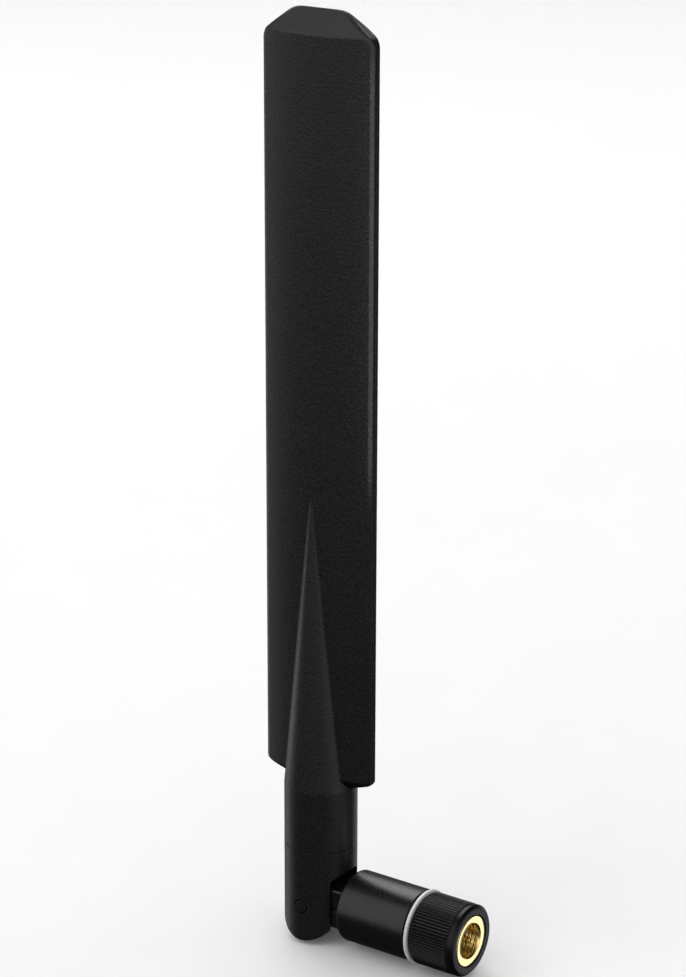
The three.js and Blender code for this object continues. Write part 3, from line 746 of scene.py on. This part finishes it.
def radome_outside():
    """The radome without its slot and cavities, lofted from the fork's end to the blade's top."""
    rows = []
    for a in spaced(0.0, math.pi / 2, FOOT_ROWS):
        z = -NECK * math.cos(a)
        rows.append(ring_of(foot_half(z), z))
    rows.append(ring_of(round_half(NECK), PARTING))
    for z in (BLADE_BOTTOM, WING_LOW - WING_ROOT):
        rows.append(ring_of(round_half(*gusset_at(z)), z))
    heel_foot = HEEL_Z - HEEL_ROUNDING * math.cos(HEEL_TILT)
    spans = (
        # from, to, how many rows
        (WING_LOW, heel_foot, 10),
        (FACE_BOTTOM - CREASE, FACE_BOTTOM + CREASE, CREASE_ROWS),
        (HEEL_Z, SWITCH_HEIGHT, 30),
        (SWITCH_HEIGHT, TIP_END, 20),
        (TIP_END, SIDE_ARC[1], 10),
        (FACE_TOP - CREASE, FACE_TOP + CREASE, CREASE_ROWS),
        (SIDE_ARC[2], TOP_ARC[2], 5),
    )
    heights = {z for span in spans for z in spaced(*span)}
    turn = spaced(HEEL_TILT, math.pi / 2, ARC_ROWS)
    heights.update(HEEL_Z - HEEL_ROUNDING * math.cos(a) for a in turn)
    for low, high, centre, radius in (
        (SIDE_ARC[1], SIDE_ARC[2], SIDE_ARC[1], CUT_SIDE_ROUNDING),
        (TOP_ARC[2], BLADE_TOP, TOP_ARC[1], CUT_TOP_ROUNDING),
    ):
        first = math.asin(max(-1.0, min(1.0, (low - centre) / radius)))
        last = math.asin(max(-1.0, min(1.0, (high - centre) / radius)))
        heights.update(centre + radius * math.sin(a) for a in spaced(first, last, ARC_ROWS))
    last = BLADE_BOTTOM
    for z in sorted(heights):
        if z - last > LEAST_GAP:
            rows.append(ring_of(blade_half(z), z))
            last = z
    return lofted("radome", rows)


CAVITY_HALF, CAVITY_MIDDLE, CAVITY_EDGE = 9.2, 1.85, 0.5


def cavity_rim(z, steps=24):
    """The cavity's lens-shaped section at z."""
    points = []
    for k in range(steps + 1):
        x = CAVITY_HALF * (2 * k / steps - 1)
        y = CAVITY_EDGE + (CAVITY_MIDDLE - CAVITY_EDGE) * (1 - (x / CAVITY_HALF) ** 2)
        points += [(x, -y, z), (x, y, z)]
    return points


def fork_slot():
    """The room between the fork's ears: round behind, and sloped open toward the base."""
    ceiling = (SLOT_REACH - MOUTH_OFFSET) / MOUTH_SLOPE
    far = 30.0

    def outline(inset):
        points = [(0, -far), (far, -far), (far, MOUTH_SLOPE * far + MOUTH_OFFSET)]
        points.append((ceiling, SLOT_REACH))
        for a in spaced(math.pi / 2, math.pi, 24):
            points.append((SLOT_REACH * math.cos(a), SLOT_REACH * math.sin(a)))
        points.append((-SLOT_REACH, -far))
        return points

    return slab("slot", outline, -SLOT, SLOT)


LEAD_WAY = 1.285
CAVITY_LOW, CAVITY_HIGH = 26.1, 152.8
PIN, PIN_PLAY = 1.35, 0.05
NECK_BORE = 4.9
FLOOR_THICKNESS = 1.6     # of the floors below and above the neck's bore
CHANNEL_HALF, CHANNEL_DEPTH, CHANNEL_TOP = 1.74, 1.9, 65.3
ACROSS, ABOVE = 20, 200   # both lie beyond the whole part

outside = radome_outside()
bore_low, bore_high = PARTING + FLOOR_THICKNESS, FACE_BOTTOM - FLOOR_THICKNESS
hollow = [
    fork_slot(),
    hull("cavity", cavity_rim(CAVITY_LOW) + cavity_rim(CAVITY_HIGH)),
    rod("neck_bore", "Z", bore_low, bore_high, NECK_BORE),
    rod("lead_way", "Z", 0.0, CAVITY_LOW + FLOOR_THICKNESS, LEAD_WAY, 48),
    block("channel", (-CHANNEL_HALF, -CHANNEL_DEPTH, CAVITY_LOW + 0.1),
          (CHANNEL_HALF, 0.0, CHANNEL_TOP)),
    rod("pin_hole", "Y", -10.0, 10.0, PIN + PIN_PLAY),
]
combine(outside, hollow, "DIFFERENCE")
front_space = block("front_space", (-ACROSS, -ACROSS, PARTING), (ACROSS, 0, ABOVE))
front_inner = block("front_inner", (-ACROSS, -ACROSS, PARTING + SEAM), (ACROSS, -SEAM, ABOVE))
cover = combine(copied(outside, "cover"), [front_inner], "INTERSECT")
rear = combine(outside, [front_space], "DIFFERENCE")
piece(rear, "rear_housing_shell", "blade", ["rear_housing"], "case_plastic")
piece(cover, "front_cover_shell", "blade", ["front_cover"], "case_plastic")

# -------------------------------- hinge pins

LEAD_RADIUS = 0.685
PIN_INNER = 1.485
PIN_HEAD, PIN_STEP_DEPTH = 1.14, 0.5
PIN_TAPER = 0.35


def hinge_pin(side):
    """A stub pin: tapered nose, shank, and a smaller raised head with a ring groove round it."""
    step = NECK - PIN_STEP_DEPTH
    corners = [
        (PIN_INNER, 0.0), (PIN_INNER, PIN - PIN_TAPER, 0.15), (PIN_INNER + PIN_TAPER, PIN, 0.1),
        (step, PIN, 0.03), (step, PIN_HEAD, 0.05), (NECK + 0.05, PIN_HEAD, 0.1), (NECK + 0.05, 0.0),
    ]
    pin = turned("pin", corners, 64)
    pin.data.transform(Matrix.Rotation(math.radians(90 * side), 4, "Z"))
    return combine(pin, [rod("neck_face", "Z", -5, 5, NECK - 0.01, 192)], "INTERSECT")


piece(hinge_pin(-1), "hinge_pin_front_head", "blade", ["hinge_pin_front"], "pin_plastic")
piece(hinge_pin(1), "hinge_pin_back_head", "blade", ["hinge_pin_back"], "pin_plastic")

# -------------------------------- base

TONGUE, TONGUE_HEIGHT = 3.9, 3.75
TONGUE_ROUNDING = 0.45
SHOULDER_X, BARREL, BARREL_END = 7.6, 6.45, 21.6
GROOVE_HALF, GROOVE_DEPTH = 0.45, 0.35
LEAD_BEND = 3.0
# Where each wider bore for the plug begins along X, and its radius.
CRIMP_ROOM, SHANK_ROOM, FLANGE_ROOM = (10.35, 2.05), (15.25, 2.95), (20.85, 4.25)


def tongue_outline(inset):
    """The tongue seen from the side: a round tip about the pin, straight back into the barrel."""
    height = TONGUE_HEIGHT - inset
    turn = spaced(math.pi / 2, 3 * math.pi / 2, 48)
    tip = [(height * math.cos(a), height * math.sin(a)) for a in turn]
    return [(SHOULDER_X + 1.5, height)] + tip + [(SHOULDER_X + 1.5, -height)]


def groove_outline(inset):
    """A straight-sided groove with a round end past the pin's hole."""
    half = GROOVE_HALF - inset
    turn = spaced(math.pi / 2, 3 * math.pi / 2, 16)
    end = [(half * math.cos(a), half * math.sin(a)) for a in turn]
    return [(SHOULDER_X, half)] + end + [(SHOULDER_X, -half)]


def base_body():
    barrel = turned("base", [
        (SHOULDER_X, 0.0), (BARREL_END, 0.0), (BARREL_END, BARREL, 0.22), (SHOULDER_X, BARREL, 0.5),
    ], 192, 6)
    tongue = slab("tongue", tongue_outline, -TONGUE, TONGUE, TONGUE_ROUNDING, 6)
    combine(tongue, [rod("tongue_room", "X", -20, 20, BARREL - 0.25, 192)], "INTERSECT")
    combine(barrel, [tongue], "UNION")
    sweep = LEAD_WAY + 0.1
    bend = rod("bend", "Y", -sweep, sweep, LEAD_BEND, 64)
    combine(bend, [block("above", (-9, -9, -sweep), (9, 9, 9))], "INTERSECT")
    past = BARREL_END + 1
    return combine(barrel, [
        rod("lead_bore", "X", 0.0, BARREL_END, LEAD_WAY, 48),
        rod("crimp_room", "X", CRIMP_ROOM[0], past, CRIMP_ROOM[1], 64),
        rod("shank_room", "X", SHANK_ROOM[0], past, SHANK_ROOM[1], 64),
        rod("flange_room", "X", FLANGE_ROOM[0], past, FLANGE_ROOM[1], 96),
        rod("pin_bore", "Y", -10.0, 10.0, PIN + 0.1, 96),
        block("way_up", (-sweep, -sweep, 0), (sweep, sweep, 9)),
        block("way_back", (-9, -sweep, -sweep), (0, sweep, sweep)),
        block("way_between", (-9, -sweep, 0), (0, sweep, 9)),
        bend,
        slab("groove_front", groove_outline, -TONGUE - 1, GROOVE_DEPTH - TONGUE),
        slab("groove_back", groove_outline, TONGUE - GROOVE_DEPTH, TONGUE + 1),
    ], "DIFFERENCE")


piece(base_body(), "base_housing_body", "base", ["base_housing"], "case_plastic", 30, "base_plastic")

RING_START, RING_END = 22.05, 22.6
RING_BORE, RING_RADIUS = 2.9, 6.7
ring = turned("ring", [
    (RING_START, RING_BORE, 0.05), (RING_END, RING_BORE, 0.05),
    (RING_END, RING_RADIUS, 0.14), (RING_START, RING_RADIUS, 0.14),
], 192)
piece(ring, "friction_ring_washer", "base", ["friction_ring"], "ring_plastic")

# -------------------------------- knurled sleeve

SLEEVE_START = 22.7
KNURL_TEETH, KNURL_DEPTH = 72, 0.2
KNURL_FLAT, KNURL_CURVE = 1.35, 0.8     # how wide the crests are, and how hollow the flanks
COLLAR_START = 30.55
SLEEVE_FACE = 5.93
NUT_BACK, NUT_FRONT, NUT_RADIUS = 23.75, 31.75, 4.6
SLEEVE_BORE = 3.2


def sleeve():
    """Straight V knurl that runs out at both ends, then a plain collar, a chamfer and a flat face."""
    runs = [(SLEEVE_START, BARREL - 0.34, 0.0), (SLEEVE_START + 0.08, BARREL - 0.24, 0.25),
            (SLEEVE_START + 0.3, BARREL - 0.05, 0.9), (SLEEVE_START + 0.45, BARREL, 1.0)]
    runs += [(x, BARREL, 1.0) for x in spaced(SLEEVE_START + 1.2, COLLAR_START - 0.75, 4)]
    runs += [(COLLAR_START - 0.3, BARREL, 1.0), (COLLAR_START - 0.12, BARREL - 0.03, 0.7),
             (COLLAR_START, BARREL - 0.2, 0.1), (COLLAR_START + 0.05, BARREL - 0.22, 0.0)]
    after = rounded([(COLLAR_START + 0.05, BARREL - 0.22), (COLLAR_START + 0.12, BARREL - 0.22, 0.03),
                     (COLLAR_START + 0.22, BARREL - 0.02, 0.05), (MOUTH_X - 0.42, BARREL - 0.02, 0.12),
                     (MOUTH_X, SLEEVE_FACE, 0.1), (MOUTH_X, NUT_RADIUS + 0.2, 0.1),
                     (MOUTH_X - 0.15, NUT_RADIUS + 0.05, 0.03), (NUT_BACK - 0.05, NUT_RADIUS + 0.05),
                     (NUT_BACK - 0.05, SLEEVE_BORE, 0.05), (SLEEVE_START, SLEEVE_BORE, 0.1),
                     (SLEEVE_START, BARREL - 0.34)])
    profile = runs + [(x, r, 0.0) for x, r in after[1:]]

    def section(share):
        wave = abs(2 * (share * KNURL_TEETH % 1.0) - 1)
        dip = KNURL_DEPTH * (1 - min(1.0, wave * KNURL_FLAT) ** KNURL_CURVE)
        return [(x, r - dip * part) for x, r, part in profile]

    return spun("sleeve", KNURL_TEETH * 8, section)


piece(sleeve(), "knurled_sleeve_grip", "plug_nut", ["knurled_sleeve"], "sleeve_plastic", 28)

# -------------------------------- coupling nut

THREAD_PITCH = 25.4 / 36
THREAD_CREST, THREAD_ROOT = 2.95, 3.32
THREAD_FLAT, THREAD_FLANK = 0.14, 0.72  # shares of half a pitch: the crest, then one flank
THREAD_FADE = 0.35                      # length over which the thread starts and ends
NUT_MOUTH = 3.28
BORE_END = 26.05
REAR_BORE = 2.9
GROOVE_BORE = 3.3


def nut():
    """Turned nut with a real helical thread that starts behind the countersink."""
    front = [(NUT_FRONT, NUT_MOUTH, 0.0), (NUT_FRONT - 0.02, NUT_MOUTH - 0.05, 0.0),
             (NUT_FRONT - 0.24, THREAD_CREST + 0.03, 0.0)]
    turns = []
    first, last = NUT_FRONT - 0.28, BORE_END + 0.45
    for x in spaced(first, last, 96):
        fade = min(1.0, (first - x) / THREAD_FADE, (x - last) / THREAD_FADE)
        turns.append((x, THREAD_CREST, max(0.0, fade)))
    back = [(BORE_END + 0.3, THREAD_CREST, 0.0), (BORE_END, THREAD_CREST, 0.0),
            (BORE_END, GROOVE_BORE, 0.0), (NUT_BACK + 1.3, GROOVE_BORE, 0.0),
            (NUT_BACK + 1.3, REAR_BORE, 0.0)]
    shell = rounded([(NUT_BACK, REAR_BORE, 0.08), (NUT_BACK, NUT_RADIUS, 0.2),
                     (NUT_FRONT, NUT_RADIUS, 0.18), (NUT_FRONT, NUT_MOUTH)])
    profile = [(x, r, 0.0) for x, r in shell[:-1]] + front + turns + back

    def section(share):
        row = []
        for x, r, depth in profile:
            if depth > 0:
                wave = abs(2 * (((x - NUT_BACK) / THREAD_PITCH + share) % 1.0) - 1)
                cut_in = min(1.0, max(0.0, (wave - THREAD_FLAT) / THREAD_FLANK))
                r = r + (THREAD_ROOT - THREAD_CREST) * cut_in * depth
            row.append((x, r))
        return row

    return spun("nut", 120, section)


piece(nut(), "coupling_nut_thread", "plug_nut", ["coupling_nut"], "gold_plate", 40)

# -------------------------------- plug body, contact, bead, gasket

REFERENCE_X = 27.55
SHELL, SHELL_BORE = 2.3, 2.05
COLLAR, FLANGE, SHANK, STEM = 2.75, 4.2, 2.9, 1.25
body = turned("body", [
    (REFERENCE_X, SHELL_BORE, 0.05), (REFERENCE_X, SHELL, 0.08),
    (26.15, SHELL, 0.05), (26.15, COLLAR, 0.08), (25.85, COLLAR, 0.04), (25.85, COLLAR - 0.3, 0.05),
    (25.25, COLLAR - 0.3, 0.05), (25.25, COLLAR, 0.04), (22.0, COLLAR, 0.1), (22.0, FLANGE, 0.15),
    (20.9, FLANGE, 0.15), (20.9, SHANK, 0.1), (15.3, SHANK, 0.2), (15.3, STEM, 0.08),
    (14.5, STEM, 0.1), (14.4, STEM - 0.12, 0.05), (13.9, STEM, 0.1), (13.3, STEM, 0.1),
    (13.2, STEM - 0.12, 0.05), (12.7, STEM, 0.1), (11.7, STEM, 0.15), (11.7, 0.41, 0.05),
    (22.0, 0.41, 0.05), (22.0, SHELL_BORE, 0.05),
], 128)
piece(body, "plug_body_core", "base", ["plug_body"], "gold_plate")

spring = turned("spring", [
    (25.8, 2.5, 0.1), (25.8, 3.25, 0.15), (25.3, 3.25, 0.15), (25.3, 2.5, 0.1),
], 96)
combine(spring, [block("split", (20, -0.25, 0), (30, 0.25, 9))], "DIFFERENCE")
piece(spring, "retainer_ring_spring", "plug_nut", ["retainer_ring"], "spring_bronze")

gasket = turned("gasket", [
    (27.15, 2.36, 0.2), (27.15, 2.84, 0.22), (26.25, 2.84, 0.22), (26.25, 2.36, 0.2),
], 96, 6)
piece(gasket, "sealing_gasket_ring", "base", ["sealing_gasket"], "silicone_red")

bead = turned("bead", [
    (22.05, 0.68, 0.05), (22.05, 2.0, 0.1), (REFERENCE_X - 0.02, 2.0, 0.1),
    (REFERENCE_X - 0.02, 1.5, 0.06), (REFERENCE_X - 0.35, 1.35, 0.06),
    (REFERENCE_X - 0.35, 0.68, 0.05),
], 96)
piece(bead, "contact_bead_resin", "base", ["contact_bead"], "contact_resin")

CONTACT_FRONT = 31.75
CONTACT, CONTACT_BORE = 0.63, 0.45
SLIT_DEPTH, SLIT_HALF = 1.8, 0.06


def socket():
    """The centre contact: a slotted socket with a countersunk mouth."""
    front, past = CONTACT_FRONT, CONTACT_FRONT + 1
    shape = turned("socket", [
        (22.15, 0.0), (22.15, CONTACT, 0.08), (front, CONTACT, 0.1), (front, CONTACT - 0.1, 0.04),
        (front - 0.16, CONTACT_BORE, 0.03), (front - 2.2, CONTACT_BORE, 0.05), (front - 2.5, 0.0),
    ], 64)
    bottom = front - SLIT_DEPTH
    slits = [block("slit_y", (bottom, -SLIT_HALF, -1), (past, SLIT_HALF, 1)),
             block("slit_z", (bottom, -1, -SLIT_HALF), (past, 1, SLIT_HALF))]
    return combine(shape, slits, "DIFFERENCE")


piece(socket(), "centre_contact_socket", "base", ["centre_contact"], "gold_plate")

FERRULE_START, FERRULE_END = 10.6, 15.2
FERRULE, FERRULE_BORE = 1.8, 1.45
CRIMP_SHARE = 0.75        # how flat the crimp's six sides are


def ferrule():
    """The crimped tube: a hexagonal crimp between two round ends."""
    start, end = FERRULE_START, FERRULE_END
    runs = [(start, 0.0), (11.2, 0.0), (11.6, 1.0), (14.2, 1.0), (14.6, 0.0), (end, 0.0)]
    sixth = math.pi / 3

    def section(share):
        flat = FERRULE * math.cos(sixth / 2) / math.cos(2 * math.pi * share % sixth - sixth / 2)
        dip = (min(flat, FERRULE) - FERRULE) * CRIMP_SHARE
        outer = [(x, FERRULE + dip * crimp) for x, crimp in runs]
        return [(start, FERRULE_BORE)] + outer + [(end, FERRULE_BORE)]

    return spun("ferrule", 96, section)


piece(ferrule(), "crimp_ferrule_hex", "base", ["crimp_ferrule"], "crimp_nickel")

# -------------------------------- lead and foam

route = [(LEAD_BEND * (1 - t) ** 2, 0.0, LEAD_BEND * t ** 2) for t in spaced(0.0, 1.0, 24)]
lead_bend = tube("bend", route, LEAD_RADIUS, 32)
piece(lead_bend, "lead_in_hinge_bend", None, ["lead_in_hinge"], "lead_jacket")
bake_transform(lead_bend)


FOAM_PULL = 0.03          # share of its size by which a pad's rim is drawn in
FOAM_SQUARENESS = 12
FOAM_POINTS = 128


def foam_pad(node):
    """A cut foam pad: crowned faces, edges pulled in a little, corners rounded."""
    low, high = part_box(node)
    low, high = [[v / MM + (MOUTH_X if i == 0 else 0) for i, v in enumerate(p)] for p in (low, high)]
    middle = [(a + b) / 2 for a, b in zip(low, high)]
    half = [(b - a) / 2 for a, b in zip(low, high)]
    power = FOAM_SQUARENESS
    rows = []
    for depth in spaced(-1, 1, 8):
        pull = 1 - FOAM_PULL * depth ** 2
        ring = []
        for k in range(FOAM_POINTS):
            a = 2 * math.pi * k / FOAM_POINTS
            c, s = math.cos(a), math.sin(a)
            reach = (abs(c) ** power + abs(s) ** power) ** (-1 / power)
            ring.append((middle[0] + half[0] * pull * reach * c, middle[1] + half[1] * depth,
                         middle[2] + half[2] * pull * reach * s))
        rows.append(ring)
    return lofted("foam", rows)


for node in ("foam_pad_upper", "foam_pad_lower"):
    pad = piece(foam_pad(node), node + "_cut", "blade", [node], "foam_black")

# The pieces that keep their CAD mesh get the materials made here.
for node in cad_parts.values():
    for place in node.material_slots:
        key = place.material.name.split(".")[0]
        if key in MATERIALS:
            place.material = MATERIALS[key]

# -------------------------------- studio

SKY, UNDERGLOW = 1.02, 0.3
HORIZON = 0.15            # the sky fades into the underglow between this height and as far below
MIRRORED_BASE = 0.02
# Cards that the object mirrors: the limits between which each fades in, by axis, and its brightness.
CARDS = (
    ((("Y", -0.24, -0.33), ("Z", -0.22, 0.0)), 1.35),                 # large softbox, front left
    ((("Y", -0.24, -0.40), ("Z", -0.02, -0.25)), 0.03),               # dim card below the softbox
    ((("Y", 0.06, 0.20), ("Z", 0.25, 0.75), ("X", 0.3, -0.2)), 4.4),  # strip overhead, behind
)
# Soft glows that it mirrors: direction, sharpness, brightness.
GLOWS = (
    ((-0.10, 0.94, -0.32), 14.0, 0.9),    # low card behind, seen along the neck's right edge
    ((1.0, 0.03, -0.02), 14.0, 1.4),      # card facing the plug, seen on the thread's flanks
    ((-0.94, 0.06, -0.33), 16.0, 1.1),    # low card on the left, seen along the gusset's fillet
)


def set_world():
    """White for the eye, a sky that lights the object, and cards and glows where it mirrors them."""
    world = bpy.data.worlds.new("studio")
    bpy.context.scene.world = world
    n = Nodes(world, "Generated")
    axes = n.axes()
    sky = n.ramp(axes["Z"], UNDERGLOW, SKY, -HORIZON, HORIZON, "SMOOTHSTEP")
    mirrored = MIRRORED_BASE
    for limits, brightness in CARDS:
        card = brightness
        for axis, start, full in limits:
            ends = (0.0, 1.0) if full > start else (1.0, 0.0)
            fade = n.ramp(axes[axis], *ends, min(start, full), max(start, full), "SMOOTHSTEP")
            card = n.maths("MULTIPLY", fade, card)
        mirrored = n.maths("ADD", card, mirrored)
    for towards, sharpness, brightness in GLOWS:
        inputs = {0: n.place, 1: Vector(towards).normalized()}
        facing = n.add("ShaderNodeVectorMath", inputs, operation="DOT_PRODUCT").outputs["Value"]
        lobe = n.maths("POWER", n.maths("MAXIMUM", facing, 0.0), sharpness)
        mirrored = n.maths("ADD", n.maths("MULTIPLY", lobe, brightness), mirrored)
    path = n.add("ShaderNodeLightPath").outputs
    shade = n.add("ShaderNodeBackground", {"Strength": sky}).outputs["Background"]
    for strength, ray in ((mirrored, "Is Glossy Ray"), (1.0, "Is Camera Ray")):
        seen = n.add("ShaderNodeBackground", {"Strength": strength}).outputs["Background"]
        inputs = {"Fac": path[ray], 1: shade, 2: seen}
        shade = n.add("ShaderNodeMixShader", inputs).outputs["Shader"]
    n.fill(n.tree.nodes["World Output"], {"Surface": shade})


def area_light(name, place, aim, size, power, mirrored=False, shape="RECTANGLE", colour=(1, 1, 1)):
    """A lamp that the object mirrors or that lights its surfaces, and that is never seen itself."""
    light = bpy.data.lights.new(name, "AREA")
    light.shape = shape
    light.size, light.size_y = size
    light.energy = power
    light.color = colour
    obj = placed(name, light)
    obj.location = place
    obj.rotation_euler = (Vector(aim) - Vector(place)).to_track_quat("-Z", "Y").to_euler()
    obj.visible_glossy = mirrored
    obj.visible_diffuse = not mirrored
    obj.visible_camera = False


FLOOR_DROP, FLOOR_HALF = 0.0006, 4.0


def add_floor():
    """A plain pale floor just below the object."""
    level, far = cad_box[0][2] - FLOOR_DROP, FLOOR_HALF
    corners = [(-far, -far, level), (far, -far, level), (far, far, level), (-far, far, level)]
    mesh = bpy.data.meshes.new("floor")
    mesh.from_pydata(corners, [], [(0, 1, 2, 3)])
    floor = placed("floor", mesh)
    n = Nodes(bpy.data.materials.new("floor_paint"))
    tone = n.mixed(n.ramp(n.noise(6), 0.0, 1.0), (0.93, 0.93, 0.93), (0.95, 0.95, 0.95))
    rough = n.ramp(n.noise(80), 0.6, 0.75)
    mesh.materials.append(n.finish(tone, rough, n.bump(n.noise(900), 0.05, 0.2)))
    floor.visible_glossy = False
    floor.visible_diffuse = False


def add_camera():
    """The photograph's view, with the camera's place about the hinge pin (degrees, millimetres)."""
    turn, tilt, roll = (math.radians(a) for a in (34.735, 18.739, 0.157))
    focal, distance, across, above = 2857.8, 511.8, 3.94, 72.48
    long_side, sensor = 977, 36.0
    back = Vector((math.sin(turn) * math.cos(tilt), -math.cos(turn) * math.cos(tilt), math.sin(tilt)))
    level = Vector((math.cos(turn), math.sin(turn), 0))
    raised = back.cross(level)
    right = level * math.cos(roll) + raised * math.sin(roll)
    up = raised * math.cos(roll) - level * math.sin(roll)
    place = back * distance + right * across + up * above
    camera = bpy.data.cameras.new("camera")
    camera.sensor_fit = "VERTICAL"
    camera.sensor_height = sensor
    camera.lens = focal * sensor / long_side
    camera.clip_start, camera.clip_end = 0.01, 20.0
    obj = placed("camera", camera)
    axes = Matrix((right, up, back)).transposed().to_4x4()
    spot = (place - Vector((MOUTH_X, 0, 0))) * MM
    obj.matrix_world = Matrix.Translation(spot) @ axes
    bpy.context.scene.camera = obj


set_world()
add_floor()
add_camera()

# Two softboxes light the object's surfaces. What it mirrors is in CARDS, GLOWS and GLINTS.
STUDIO = (
    # name, direction from the object, distance, size, power
    ("key", (-0.54, -0.62, 0.55), 1.3, (0.9, 0.7), 2.6),
    ("back", (-0.50, 0.47, 0.74), 1.2, (0.8, 0.35), 2.6),
)
middle = Vector((-0.03, 0, 0.06))
for name, direction, distance, size, power in STUDIO:
    area_light(name, middle + Vector(direction).normalized() * distance, middle, size, power)

# Two small cards stand where a narrow part of the object mirrors them toward the camera.
GLINTS = (
    # name, place and aim in millimetres from the plug's mouth, width and height, power, shape, colour
    ("mouth_card", (11.7, 18.8, -11.6), (-100, 18.8, -11.6), (17, 17), 0.00104, "DISK",
     (0.92, 0.98, 1.12)),
    ("bevel_card", (-13.0, -13.4, 112), (-20.5, -1.0, 112), (4, 74), 0.0028, "RECTANGLE", (1, 1, 1)),
)
for name, place, aim, size, power, shape, colour in GLINTS:
    width, height = size
    size = (width * MM, height * MM)
    area_light(name, Vector(place) * MM, Vector(aim) * MM, size, power, True, shape, colour)
bpy.context.scene.view_settings.view_transform = "Standard"
